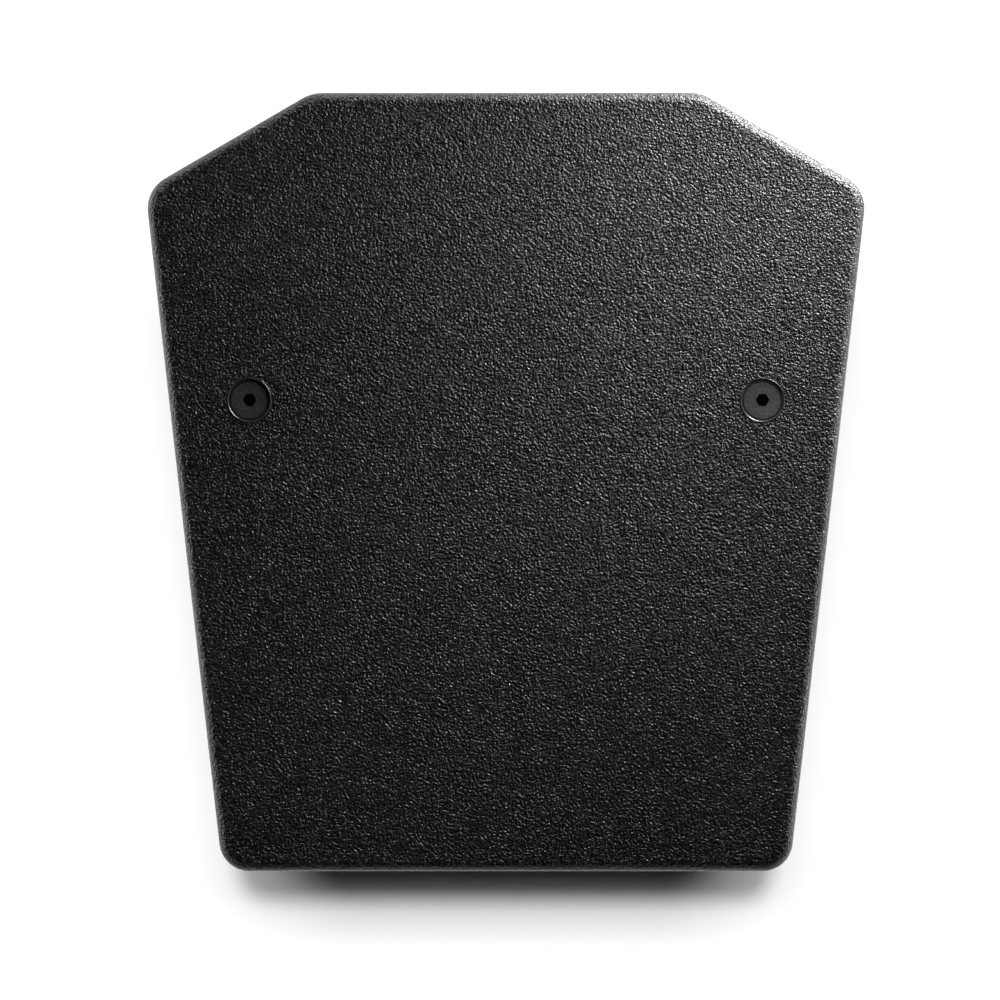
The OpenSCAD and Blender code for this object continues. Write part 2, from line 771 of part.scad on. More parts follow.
module port_tubes() {
    outer = port_r + port_t;
    lip_h = 2.5;
    edge = 1;
    color(plastic_black) at_ports() rotate_extrude() polygon([
        [port_r, -port_l], [outer, -port_l], [outer, 0], [port_lip_r, 0], [port_lip_r, lip_h - edge],
        [port_lip_r - edge, lip_h], [port_r + 3 * edge, lip_h], [port_r + edge, edge / 2], [port_r, -4 * edge]
    ]);
}

// ---- Woofer, local +Z points to the front and 0 is the baffle's face ----

barrel_h = 10;                          // straight part of the frame behind its flange
seat_h = 8;                             // straight part of the frame in front of the magnet
paper_t = 0.8;                          // thickness of the cone, dust cap and spider
lip_t = 1;                              // thickness of the surround
flange_in = basket_r - 11;              // inner edge of the frame's flange
lip_r = flange_in + 12;                 // outer edge of the surround
roll_out = flange_in - 2.5;
roll_in = roll_out - roll_w;
cone_z = woofer_flange_t - lip_t;       // top of the cone's edge
cone_in = roll_in - 4.5;
neck_z = cone_z - cone_depth;
coil_r = coil_d / 2;
former_out = coil_r + 0.4;
cone_slope = (cone_z - neck_z - paper_t) / (cone_in - former_out);
seat_r = magnet_d / 2 + 4;
ledge_z = 2 * seat_h - basket_depth;    // where the spider is glued
basket_slope = (basket_r - seat_r) / (basket_depth - barrel_h - seat_h);
ledge_r = seat_r + seat_h * basket_slope - basket_t;
magnet_z = -basket_depth - plate_t;     // front face of the magnet
tee_r = 3.5;
woofer_screw_circle = woofer_r - 5.5;
glue = 0.1;                             // gap left for glue

function cone_front(r) = cone_z + (r - cone_in) * cone_slope;

module at_woofer_screws() {
    for (i = [0 : woofer_screw_n - 1]) rotate(360 * (i + 0.5) / woofer_screw_n)
        translate([woofer_screw_circle, 0, 0]) children();
}

module woofer_basket() {
    window_z = 14;
    window_w = 64;
    color(cast) on_baffle(woofer_z) difference() {
        rotate_extrude() polygon([
            [flange_in, 0], [flange_in, cone_z], [lip_r, cone_z], [lip_r, woofer_flange_t],
            [woofer_r, woofer_flange_t], [woofer_r, 0], [basket_r, 0], [basket_r, -barrel_h],
            [seat_r, seat_h - basket_depth], [seat_r, -basket_depth], [coil_r + 14, -basket_depth],
            [coil_r + 14, basket_t - basket_depth], [seat_r - basket_t, basket_t - basket_depth],
            [seat_r - basket_t, ledge_z], [ledge_r, ledge_z], [basket_r - basket_t, -barrel_h],
            [basket_r - basket_t, 0]
        ]);
        for (i = [0 : 5]) rotate(30 + 60 * i) translate([seat_r - 10, -window_w / 2, ledge_z + 6])
            cube([woofer_r, window_w, -ledge_z - 6 - window_z]);
        at_woofer_screws() translate([0, 0, -eps]) cylinder(h = woofer_flange_t + 2 * eps, r = m5_r + screw_fit);
    }
}

module woofer_gasket() {
    color(rubber) on_baffle(woofer_z) translate([0, 0, woofer_flange_t])
        ring(woofer_screw_circle - m5_head_r - 0.5, flange_in + 1, 3);
}

module woofer_surround() {
    c = (roll_in + roll_out) / 2;
    under = roll_w / 2 - 0.5;
    over = under + lip_t;
    lift = asin(lip_t / over);
    steps = 12;
    color(rubber) on_baffle(woofer_z) translate([0, 0, cone_z]) rotate_extrude() polygon(concat(
        [[cone_in, 0]],
        [for (s = [0 : steps]) let (a = 180 - 180 * s / steps) [c + under * cos(a), under * sin(a)]],
        [[lip_r, 0], [lip_r, lip_t]],
        [for (s = [0 : steps]) let (a = lift + (180 - 2 * lift) * s / steps) [c + over * cos(a), over * sin(a)]],
        [[cone_in, lip_t]]
    ));
}

module woofer_cone() {
    color(paper) on_baffle(woofer_z) rotate_extrude() polygon([
        [roll_in, cone_z], [cone_in, cone_z], [former_out, neck_z + paper_t], [former_out, neck_z - paper_t],
        [cone_in - 0.5, cone_z - lip_t], [roll_in, cone_z - lip_t]
    ]);
}

module dust_cap() {
    r = dust_cap_d / 2;
    h = dust_cap_d * 0.16;
    dome_r = (r * r + h * h) / (2 * h);
    reach = asin(r / dome_r);
    seat = cone_front(r) + paper_t * (cos(reach) - cone_slope * sin(reach)) + glue;
    steps = 10;
    color(paper) on_baffle(woofer_z) translate([0, 0, seat + h - dome_r])
        rotate_extrude() polygon(concat(
            [for (s = [0 : steps]) dome_r * [sin(reach * s / steps), cos(reach * s / steps)]],
            [for (s = [steps : -1 : 0]) (dome_r - paper_t) * [sin(reach * s / steps), cos(reach * s / steps)]]
        ));
}

module voice_coil() {
    coil_h = 16;
    wire = 0.8;
    mid = -basket_depth - plate_t / 2;
    color(copper) on_baffle(woofer_z) rotate_extrude() polygon([
        [coil_r, neck_z + paper_t], [coil_r, mid - coil_h / 2], [former_out + wire, mid - coil_h / 2],
        [former_out + wire, mid + coil_h / 2], [former_out, mid + coil_h / 2], [former_out, neck_z + paper_t]
    ]);
}

module spider() {
    wave = 2;
    waves = 4;
    steps = 48;
    from_r = former_out + 5;
    to_r = seat_r - basket_t;
    rise = [for (s = [0 : steps]) [from_r + (to_r - from_r) * s / steps, wave * sin(360 * waves * s / steps)]];
    color([0.6, 0.42, 0.2]) on_baffle(woofer_z) translate([0, 0, ledge_z]) rotate_extrude() polygon(concat(
        [[former_out, 0]], rise, [[ledge_r - fit, 0], [ledge_r - fit, paper_t]],
        [for (s = [steps : -1 : 0]) rise[s] + [0, paper_t]], [[former_out, paper_t]]
    ));
}

module woofer_top_plate() {
    color(zinc) on_baffle(woofer_z) translate([0, 0, magnet_z]) ring(magnet_d / 2 - 5, coil_r + 2.2, plate_t);
}

module woofer_magnet() {
    color(ferrite) on_baffle(woofer_z) translate([0, 0, magnet_z - magnet_t])
        ring(magnet_d / 2, coil_r + 12, magnet_t);
}

module woofer_back_plate() {
    plate_z = magnet_z - magnet_t - plate_t;
    color(zinc) on_baffle(woofer_z) difference() {
        union() {
            translate([0, 0, plate_z]) cylinder(h = plate_t, r = magnet_d / 2 - 5);
            translate([0, 0, plate_z]) cylinder(h = -basket_depth - plate_z, r = coil_r - 1);
        }
        translate([0, 0, plate_z - eps]) cylinder(h = -basket_depth - plate_z + 2 * eps, r = vent_d / 2);
    }
}

terminal_x = 9;
terminal_out = 8;
blade = [4.8, 10, 0.8];

module woofer_terminals() {
    color(copper) on_baffle(woofer_z) {
        difference() {
            translate([-17, seat_r - 2, -basket_depth]) cube([34, terminal_out + 2, 8]);
            translate([0, 0, -basket_depth - eps]) cylinder(h = 8 + 2 * eps, r = seat_r);
        }
        for (side = [-1, 1])
            translate([side * terminal_x - blade[0] / 2, seat_r + terminal_out, 4 - basket_depth]) cube(blade);
    }
}

module tinsel_leads() {
    color(copper) on_baffle(woofer_z) for (side = [-1, 1]) tube_along([
        [side * terminal_x, seat_r + 6, 9 - basket_depth],
        [side * terminal_x, ledge_r + 13, ledge_z + 1],
        [side * terminal_x, ledge_r + 14, ledge_z + 10],
        [side * terminal_x, ledge_r + 2, ledge_z + 16],
        [side * terminal_x, coil_r + 36, cone_front(coil_r + 36) - 9],
        [side * terminal_x, coil_r + 24, cone_front(coil_r + 24) - 4]
    ], 2);
}

module woofer_screws() {
    color(steel_black) on_baffle(woofer_z) translate([0, 0, woofer_flange_t]) at_woofer_screws()
        pan_screw(m5_r, woofer_flange_t + baffle_t, m5_head_r, m5_head_h);
}

module tee_nuts() {
    color(zinc) on_baffle(woofer_z) at_woofer_screws() translate([0, 0, -baffle_t]) difference() {
        union() {
            cylinder(h = 9, r = tee_r);
            translate([0, 0, -1.5]) cylinder(h = 1.5, r = 8);
        }
        translate([0, 0, -1.5 - eps]) cylinder(h = 11 + eps, r = m5_r + 0.05);
    }
}

// ---- Horn and compression driver, in the same kind of frame at horn_z ----

throat_r = throat_d / 2;
throat_flange_t = 8;
horn_cut = horn_w - 26;
hf_z = -horn_depth - throat_flange_t;   // front face of the driver
hf_end = hf_z - 2 * hf_plate_t - hf_magnet_t;
hf_magnet_r = hf_magnet_d / 2;
hf_coil_r = hf_coil_d / 2;
hf_ring_t = 5;
hf_edge_r = hf_coil_r + 5;
hf_bolt_circle = hf_magnet_r - 14;

// Section of the horn, s = 0 at the throat to 1 at the mouth, grown outwards by grow
function horn_ring(s, grow) =
    let (
        points = 40,
        swell = pow(s, 1.7),
        a = throat_r + (mouth_w / 2 - throat_r) * swell + grow,
        b = throat_r + (mouth_h / 2 - throat_r) * swell + grow,
        e = 2 / (2 + 6 * s),
        z = hf_z + 0.5 + s * (horn_flange_t - hf_z)
    )
    [for (i = [0 : points - 1])
        let (c = cos(360 * i / points), d = sin(360 * i / points))
        [a * sign(c) * pow(abs(c), e), b * sign(d) * pow(abs(d), e), z]];

module at_horn_screws() {
    for (u = [-1, 1], v = [-1, 1]) translate([u * (horn_w / 2 - 8), v * (horn_w / 2 - 8), 0]) children();
}

module at_hf_bolts() {
    for (i = [0 : 3]) rotate(45 + 90 * i) translate([hf_bolt_circle, 0, 0]) children();
}

module horn() {
    steps = 9;
    mouth = [for (p = horn_ring(1, horn_t / 2)) [p[0], p[1]]];
    color(plastic_black) on_baffle(horn_z) difference() {
        union() {
            linear_extrude(horn_flange_t) difference() {
                polygon(rounded_rect(horn_w, horn_w, 12));
                polygon(mouth);
            }
            loft(concat(
                [for (s = [0 : steps]) horn_ring(s / steps, horn_t)],
                [for (s = [steps : -1 : 0]) horn_ring(s / steps, 0)]
            ), true);
            translate([0, 0, hf_z]) ring(hf_magnet_r - 4, throat_r + horn_t / 2, throat_flange_t);
        }
        at_horn_screws() translate([0, 0, -eps]) cylinder(h = horn_flange_t + 2 * eps, r = m5_r + screw_fit);
        at_hf_bolts() translate([0, 0, hf_z - eps]) cylinder(h = throat_flange_t + 2 * eps, r = m5_r + screw_fit);
    }
}

module horn_screws() {
    color(steel_black) on_baffle(horn_z) translate([0, 0, horn_flange_t]) at_horn_screws()
        pan_screw(m5_r, horn_flange_t + baffle_t - 3, m5_head_r, m5_head_h * 0.8);
}

module hf_front_plate() {
    plug_seat = 4;
    color(zinc) on_baffle(horn_z) difference() {
        union() {
            translate([0, 0, hf_z - hf_plate_t]) cylinder(h = hf_plate_t, r = hf_magnet_r - 2);
            translate([0, 0, hf_end]) cylinder(h = hf_z - hf_end, r = hf_coil_r - 1.1);
        }
        translate([0, 0, hf_end + plug_seat]) cylinder(h = hf_z - hf_end - plug_seat, r1 = 16, r2 = throat_r);
        translate([0, 0, hf_z - eps]) cylinder(h = 2 * eps, r = throat_r);
        translate([0, 0, hf_end - eps]) cylinder(h = plug_seat + eps, r = 17);
        at_hf_bolts() translate([0, 0, hf_z - hf_plate_t - eps]) cylinder(h = hf_plate_t + 2 * eps, r = m5_r + 0.05);
    }
}

module hf_magnet() {
    color(ferrite) on_baffle(horn_z) translate([0, 0, hf_z - hf_plate_t - hf_magnet_t])
        ring(hf_magnet_r, hf_coil_r + 6, hf_magnet_t);
}

module hf_top_plate() {
    color(zinc) on_baffle(horn_z) translate([0, 0, hf_end]) ring(hf_magnet_r - 2, hf_coil_r + 0.9, hf_plate_t);
}

module hf_phase_plug() {
    color(plastic_black) on_baffle(horn_z) translate([0, 0, hf_end]) {
        ring(16.95, 14, 3.9);
        translate([0, 0, 0.5]) cylinder(h = 17, r1 = 10, r2 = 1.5);
        for (i = [0 : 2]) rotate(120 * i) difference() {
            translate([5, -0.8, 0.5]) cube([9.5, 1.6, 3]);
            translate([0, 0, 0.5]) cylinder(h = 17, r1 = 10, r2 = 1.5);
            difference() {
                cylinder(h = 8, r = 20);
                translate([0, 0, -eps]) cylinder(h = 9, r = 14);
            }
        }
    }
}

module hf_diaphragm() {
    skin = 0.4;
    rise = 7;
    dome_r = (hf_coil_r * hf_coil_r + rise * rise) / (2 * rise);
    reach = asin((hf_coil_r - 0.5) / dome_r);
    steps = 8;
    base = -2;
    top = base - rise + dome_r;
    color(zinc) on_baffle(horn_z) translate([0, 0, hf_end]) rotate_extrude() polygon(concat(
        [for (s = [0 : steps]) [0, top] + dome_r * [sin(reach * s / steps), -cos(reach * s / steps)]],
        [[hf_edge_r, base - skin], [hf_edge_r, base], [hf_coil_r + 0.3, base], [hf_coil_r + 0.3, 4],
            [hf_coil_r - 0.5, 4], [hf_coil_r - 0.5, base]],
        [for (s = [steps - 1 : -1 : 0])
            [0, top] + (dome_r - skin) * [sin(reach * s / steps), -cos(reach * s / steps)]]
    ));
}

module hf_mount_ring() {
    color(plastic_black) on_baffle(horn_z) translate([0, 0, hf_end - hf_ring_t]) union() {
        ring(hf_magnet_r - 6, hf_edge_r + fit, hf_ring_t);
        for (side = [-1, 1]) translate([side * 7 - 2.4, -hf_magnet_r - 2, 2]) cube([4.8, 9, 0.8]);
    }
}

module hf_rear_cover() {
    wall = 3;
    color(plastic_black) on_baffle(horn_z) translate([0, 0, hf_end - hf_ring_t - hf_cover_h]) difference() {
        cylinder(h = hf_cover_h, r = hf_magnet_r - 6);
        translate([0, 0, wall]) cylinder(h = hf_cover_h, r = hf_magnet_r - 6 - wall);
    }
}

module hf_bolts() {
    color(zinc) on_baffle(horn_z) translate([0, 0, hf_z + throat_flange_t]) at_hf_bolts()
        pan_screw(m5_r, throat_flange_t + hf_plate_t - 0.5, m5_head_r, m5_head_h);
}

// ---- Input plate ----

input_recess = 2.6;     // the plate lies this far below the rear face, so screw heads stay flush
tray_w = input_w - 2 * input_border;
tray_h = input_h - 2 * input_border;
tray_floor = -input_recess - input_depth;
socket_r = socket_d / 2;
socket_body_r = socket_r + 2;
socket_flange_t = 2;

module at_input_screws() {
    edge = input_border / 2;
    for (u = [-1, 1], v = [-1, 1]) translate([u * (input_w / 2 - edge), v * (input_h / 2 - edge), 0]) children();
}

module at_sockets() {
    for (side = [-1, 1]) translate([side * socket_pitch / 2, 0, tray_floor]) children();
}

module at_socket_screws() {
    at_sockets() for (u = [-1, 1]) translate([u * 10, u * 13, 0]) children();
}

module input_dish() {
    color(steel_black) on_rear(input_z) difference() {
        union() {
            translate([0, 0, -input_recess - input_t]) plate(rounded_rect(input_w, input_h, 6), input_t);
            translate([0, 0, tray_floor - input_t]) plate(rounded_rect(tray_w, tray_h, 6), input_depth + eps);
        }
        translate([0, 0, tray_floor])
            plate(rounded_rect(tray_w - 2 * input_t, tray_h - 2 * input_t, 4), input_depth + eps);
        at_sockets() translate([0, 0, -input_t - eps]) cylinder(h = input_t + 2 * eps, r = socket_body_r + fit);
        at_socket_screws() translate([0, 0, -input_t - eps]) cylinder(h = input_t + 2 * eps, r = m3_r + 0.1);
        at_input_screws() translate([0, 0, -input_recess - input_t - eps])
            cylinder(h = input_t + 2 * eps, r = m4_r + screw_fit);
    }
}

module input_sockets() {
    body_h = socket_depth + 4;
    post_r = 4.5;
    color(plastic_black) on_rear(input_z) difference() {
        at_sockets() union() {
            plate(rounded_rect(28, 34, 4), socket_flange_t);
            translate([0, 0, -body_h]) cylinder(h = body_h + eps, r = socket_body_r);
        }
        at_sockets() translate([0, 0, socket_flange_t - socket_depth]) difference() {
            cylinder(h = socket_depth + eps, r = socket_r);
            translate([0, 0, -eps]) cylinder(h = socket_depth * 0.45 + eps, r = post_r);
        }
        at_socket_screws() translate([0, 0, -eps]) cylinder(h = socket_flange_t + 2 * eps, r = m3_r + 0.1);
    }
}

module input_screws() {
    color(zinc) on_rear(input_z) {
        translate([0, 0, -input_recess]) at_input_screws() pan_screw(m4_r, input_t + 8, 3.5, 2.2);
        translate([0, 0, socket_flange_t]) at_socket_screws() pan_screw(m3_r, 9, 2.7, 1.8);
    }
}

// ---- Crossover ----

board_t = 1.6;
board_y = y_rear_inner - board_gap - board_d / 2;
board_top = z_floor + standoff_h + board_t;
block_h = 12;

module at_standoffs() {
    for (u = [-1, 1], v = [-1, 1]) translate([u * (board_w / 2 - 6), board_y + v * (board_d / 2 - 6), z_floor])
        children();
}

module on_board(x, y) {
    translate([x, board_y + y, board_top]) children();
}

module crossover_board() {
    color(board_green) difference() {
        translate([-board_w / 2, board_y - board_d / 2, z_floor + standoff_h]) cube([board_w, board_d, board_t]);
        at_standoffs() cylinder(h = standoff_h + board_t + eps, r = 1.7);
    }
}

module crossover_standoffs() {
    color(plastic_black) at_standoffs() union() {
        cylinder(h = standoff_h, r = 4);
        cylinder(h = standoff_h + board_t + 2, r = 1.5);
        translate([0, 0, standoff_h + board_t]) cylinder(h = 2, r1 = 2.6, r2 = 1.5);
    }
}

module crossover_coils() {
    color(copper) for (x = [-43, 14]) on_board(x, -14) ring(air_coil_d / 2, air_coil_d / 2 - 12, 22);
}

module crossover_capacitors() {
    color([0.75, 0.6, 0.15]) for (x = [-48, -8]) on_board(x - 17, 26) translate([0, 0, 8]) rotate([0, 90, 0])
        cylinder(h = 34, r = 8);
}

module crossover_resistors() {
    color([0.85, 0.84, 0.8]) for (y = [-28, -12]) on_board(45, y) cube([26, 10, 10]);
}

module crossover_terminals() {
    color(board_green * 2) for (x = [22, 42, 62]) on_board(x - 7, 22) cube([14, 12, block_h]);
}

// ---- Internal leads, clips and lining ----

block_y = board_y + 28;
lead_start_z = board_top + block_h + 0.4;
lead_y = y_rear_inner - 14;             // where the leads run up the rear panel
clip_x = inner_x(y_rear_inner) - 50;
clip_y = y_rear_inner - 32;
clip_z = brace_z - lead_d;

module input_lead() {
    socket_end = y_rear + tray_floor - socket_depth - 4;
    color(rubber) tube_along([
        [socket_pitch / 2, socket_end - 0.4, input_z], [socket_pitch / 2, socket_end - 12, input_z - 3],
        [34, lead_y - 31, input_z - 26], [41, lead_y - 25, input_z - 54], [42, block_y, lead_start_z + 14],
        [42, block_y, lead_start_z]
    ], lead_d);
}

module woofer_lead() {
    color(rubber) tube_along([
        [22, block_y, lead_start_z], [20, block_y - 2, lead_start_z + 16], [0, lead_y - 29, input_z - 40],
        [-40, lead_y - 31, input_z], [6 - clip_x, lead_y - 9, input_z + 60], [-clip_x, lead_y, input_z + 130],
        [-clip_x, lead_y - 1, brace_z - 33], [-clip_x, clip_y + 10, clip_z - 2],
        [-clip_x, clip_y, clip_z], [-clip_x, clip_y - 10, clip_z],
        [8 - clip_x, clip_y - 48, clip_z - 11], [-30, pole_back - 8, clip_z - 33],
        [0, y_baffle + basket_depth + 6, woofer_z + seat_r + 26],
        [0, y_baffle + basket_depth - 4, woofer_z + seat_r + terminal_out + blade[1] + 3]
    ], lead_d);
}

module hf_lead() {
    color(rubber) tube_along([
        [62, block_y, lead_start_z], [62, block_y, lead_start_z + 14], [70, lead_y - 9, input_z - 20],
        [clip_x, lead_y, input_z + 50], [clip_x, lead_y + 1, input_z + 130], [clip_x, lead_y - 1, brace_z - 33],
        [clip_x, clip_y + 10, clip_z - 2], [clip_x, clip_y, clip_z], [clip_x, clip_y - 10, clip_z],
        [clip_x - 8, clip_y - 32, brace_z + 7], [clip_x - 28, clip_y - 68, brace_z + 33],
        [16, pole_back - 4, horn_z - 75],
        [0, y_baffle - hf_end + 2, horn_z - hf_magnet_r - 6]
    ], lead_d);
}

module lead_clips() {
    bore = lead_d / 2 + 0.8;
    wall = 2;
    color(plastic_black) for (side = [-1, 1]) difference() {
        translate([side * clip_x - bore - wall, clip_y - 7, clip_z - bore - wall])
            cube([2 * (bore + wall), 8, brace_z - clip_z + bore + wall]);
        translate([side * clip_x, clip_y - 8, clip_z]) rotate([-90, 0, 0]) cylinder(h = 10, r = bore);
    }
}

module damping_lining() {
    rear_half = inner_x(y_rear_inner) - 10;
    above = brace_z + brace_t + 6;
    color(felt) {
        difference() {
            translate([-rear_half, y_rear_inner - lining_t, above])
                cube([2 * rear_half, lining_t, z_ceiling - lining_t - 6 - above]);
            on_rear(z_top - rig_rear_drop) translate([0, 0, -wall_t - lining_t - eps])
                cylinder(h = lining_t + 2 * eps, r = insert_flange_d / 2 + 4);
        }
        translate([insert_flange_d / 2 + 6 - rig_x, y_baffle_back + 6, z_ceiling - lining_t])
            cube([2 * rig_x - insert_flange_d - 12, y_rear_inner - y_baffle_back - 12, lining_t]);
        mirrored() on_side(0, z_floor + 10) translate([-wall_t - lining_t, -100, 0])
            cube([lining_t, 250, brace_z - z_floor - 20]);
    }
}

top_panel();
bottom_panel();
side_panel_left();
side_panel_right();
rear_panel();
baffle();
window_brace();
grille_battens();
grille();
grille_screws();
rigging_inserts();
rigging_screws();
pole_socket();
pole_socket_screws();
feet();
foot_screws();
handle_cup_left();
handle_cup_right();
handle_bars();
handle_screws();
port_tubes();
woofer_basket();
woofer_gasket();
woofer_surround();
woofer_cone();
dust_cap();
voice_coil();
spider();
woofer_top_plate();
woofer_magnet();
woofer_back_plate();
woofer_terminals();
tinsel_leads();
woofer_screws();
tee_nuts();
horn();
horn_screws();
hf_front_plate();
hf_magnet();
hf_top_plate();
hf_phase_plug();
hf_diaphragm();
hf_mount_ring();
hf_rear_cover();
hf_bolts();
input_dish();
input_sockets();
input_screws();
crossover_board();
crossover_coils();
crossover_capacitors();
crossover_resistors();
crossover_standoffs();
crossover_terminals();
input_lead();
woofer_lead();
hf_lead();
lead_clips();
damping_lining();
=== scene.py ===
"""Looks of the PA speaker cabinet, in metres. +Z is up, the grille faces -Y and +X is its right side."""

import json
import math

import bmesh
import bpy
from mathutils import Matrix, Vector


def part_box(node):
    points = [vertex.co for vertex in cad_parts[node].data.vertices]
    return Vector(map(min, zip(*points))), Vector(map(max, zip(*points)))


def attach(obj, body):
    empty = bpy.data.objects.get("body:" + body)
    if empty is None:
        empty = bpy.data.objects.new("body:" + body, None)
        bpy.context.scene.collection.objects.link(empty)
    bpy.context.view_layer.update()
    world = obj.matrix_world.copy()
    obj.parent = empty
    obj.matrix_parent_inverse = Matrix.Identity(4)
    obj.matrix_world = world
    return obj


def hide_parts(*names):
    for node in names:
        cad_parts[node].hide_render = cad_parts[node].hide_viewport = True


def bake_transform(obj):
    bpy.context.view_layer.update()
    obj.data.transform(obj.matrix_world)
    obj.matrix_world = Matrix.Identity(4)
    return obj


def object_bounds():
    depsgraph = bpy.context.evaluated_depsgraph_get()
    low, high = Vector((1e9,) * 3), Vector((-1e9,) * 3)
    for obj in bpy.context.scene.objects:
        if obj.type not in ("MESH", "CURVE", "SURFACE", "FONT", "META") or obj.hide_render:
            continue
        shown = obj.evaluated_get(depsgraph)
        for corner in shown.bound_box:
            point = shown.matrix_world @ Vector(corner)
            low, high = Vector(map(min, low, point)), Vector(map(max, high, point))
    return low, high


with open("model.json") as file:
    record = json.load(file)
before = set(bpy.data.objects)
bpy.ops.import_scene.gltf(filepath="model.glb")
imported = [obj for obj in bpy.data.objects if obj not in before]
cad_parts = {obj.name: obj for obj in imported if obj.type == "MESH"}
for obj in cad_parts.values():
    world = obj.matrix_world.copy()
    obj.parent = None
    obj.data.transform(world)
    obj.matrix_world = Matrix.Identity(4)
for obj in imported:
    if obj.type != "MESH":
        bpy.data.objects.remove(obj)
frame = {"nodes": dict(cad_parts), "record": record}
cad_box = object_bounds()
low, high = Vector(cad_box[0]), Vector(cad_box[1])
MM = 0.001

# ---- Camera: square above the top panel, with the front edge at the top of the picture ----

LENS = 200 * MM
SENSOR = 36 * MM
VIEW_WIDTH = 0.499                      # width of the picture at the top panel
VIEW_CENTRE = Vector((0.003, 0.009))    # what stands in the middle of the picture


def add_camera():
    data = bpy.data.cameras.new("camera")
    data.lens = LENS / MM
    data.sensor_width = SENSOR / MM
    data.clip_start = 0.05
    data.clip_end = 100
    camera = bpy.data.objects.new("camera", data)
    bpy.context.scene.collection.objects.link(camera)
    distance = VIEW_WIDTH * LENS / SENSOR
    camera.location = (VIEW_CENTRE.x, VIEW_CENTRE.y, high.z + distance)
    camera.rotation_euler = (0, 0, math.pi)
    bpy.context.scene.camera = camera


add_camera()

# ---- Node and mesh helpers ----


def put(tree, kind, inputs=None, **settings):
    """A shader node with its settings, and its inputs set or linked by name or number."""
    node = tree.nodes.new("ShaderNode" + kind)
    for key, value in settings.items():
        setattr(node, key, value)
    for key, value in (inputs or {}).items():
        if isinstance(value, bpy.types.NodeSocket):
            tree.links.new(value, node.inputs[key])
        else:
            node.inputs[key].default_value = value
    return node


def math_node(tree, operation, a, b=0.0, clamp=False):
    return put(tree, "Math", {0: a, 1: b}, operation=operation, use_clamp=clamp).outputs[0]


def multiply_add(tree, value, factor, added):
    return put(tree, "Math", {0: value, 1: factor, 2: added}, operation="MULTIPLY_ADD").outputs[0]


def noise(tree, where, scale, detail=2.0, roughness=0.5, distortion=0.0):
    """Fractal noise. The scale is in cells per metre."""
    inputs = {"Vector": where, "Scale": scale, "Detail": detail, "Roughness": roughness}
    inputs["Distortion"] = distortion
    return put(tree, "TexNoise", inputs).outputs["Fac"]


def ramp(tree, factor, stops):
    """Colour ramp through (position, grey or colour) stops."""
    node = put(tree, "ValToRGB", {"Fac": factor})
    elements = node.color_ramp.elements
    while len(elements) < len(stops):
        elements.new(0.5)
    for element, (position, colour) in zip(elements, stops):
        element.position = position
        rgb = colour if isinstance(colour, tuple) else (colour, colour, colour)
        element.color = (*rgb, 1)
    return node.outputs["Color"]


def stretched(tree, where, factors):
    return put(tree, "Mapping", {"Vector": where, "Scale": factors}).outputs["Vector"]


class Finish:
    """A procedural material under construction: its tree, object coordinates and shader."""

    def __init__(self, name, metallic=0.0, specular=0.5, coat=0.0, coat_roughness=0.1, sheen=0.0):
        self.material = bpy.data.materials.new(name)
        self.material.use_nodes = True
        self.tree = self.material.node_tree
        self.shader = self.tree.nodes["Principled BSDF"]
        self.where = put(self.tree, "TexCoord").outputs["Object"]
        self.shader.inputs["Metallic"].default_value = metallic
        self.shader.inputs["Specular IOR Level"].default_value = specular
        self.shader.inputs["Coat Weight"].default_value = coat
        self.shader.inputs["Coat Roughness"].default_value = coat_roughness
        self.shader.inputs["Sheen Weight"].default_value = sheen

    def colour(self, factor, stops):
        self.tree.links.new(ramp(self.tree, factor, stops), self.shader.inputs["Base Color"])

    def roughness(self, factor, stops):
        self.tree.links.new(ramp(self.tree, factor, stops), self.shader.inputs["Roughness"])

    def bump(self, height, distance, strength=1.0):
        node = put(self.tree, "Bump", {"Height": height, "Distance": distance, "Strength": strength})
        self.tree.links.new(node.outputs["Normal"], self.shader.inputs["Normal"])


def dress(piece, finish):
    """Gives a piece one material."""
    piece.data.materials.clear()
    piece.data.materials.append(finish.material)
    return piece


SMOOTH_ANGLE = math.radians(32)         # edges sharper than this stay sharp in the shading
BEVEL_ANGLE = math.radians(40)          # and edges sharper than this are rounded
WELD_DISTANCE = 0.01 * MM
MERGE_DISTANCE = 0.001 * MM


def smooth_group():
    """Geometry nodes that shade smooth, apart from edges sharper than an angle."""
    tree = bpy.data.node_groups.new("smooth_by_angle", "GeometryNodeTree")
    tree.interface.new_socket("Geometry", in_out="INPUT", socket_type="NodeSocketGeometry")
    tree.interface.new_socket("Geometry", in_out="OUTPUT", socket_type="NodeSocketGeometry")
    start = tree.nodes.new("NodeGroupInput")
    end = tree.nodes.new("NodeGroupOutput")
    faces = tree.nodes.new("GeometryNodeSetShadeSmooth")
    edges = tree.nodes.new("GeometryNodeSetShadeSmooth")
    edges.domain = "EDGE"
    edges.inputs["Shade Smooth"].default_value = False
    angle = tree.nodes.new("GeometryNodeInputMeshEdgeAngle")
    sharp = tree.nodes.new("FunctionNodeCompare")
    sharp.operation = "GREATER_THAN"
    sharp.inputs["B"].default_value = SMOOTH_ANGLE
    tree.links.new(angle.outputs["Unsigned Angle"], sharp.inputs["A"])
    tree.links.new(sharp.outputs["Result"], edges.inputs["Selection"])
    tree.links.new(start.outputs[0], faces.inputs["Geometry"])
    tree.links.new(faces.outputs[0], edges.inputs["Geometry"])
    tree.links.new(edges.outputs[0], end.inputs[0])
    return tree


SMOOTH = smooth_group()


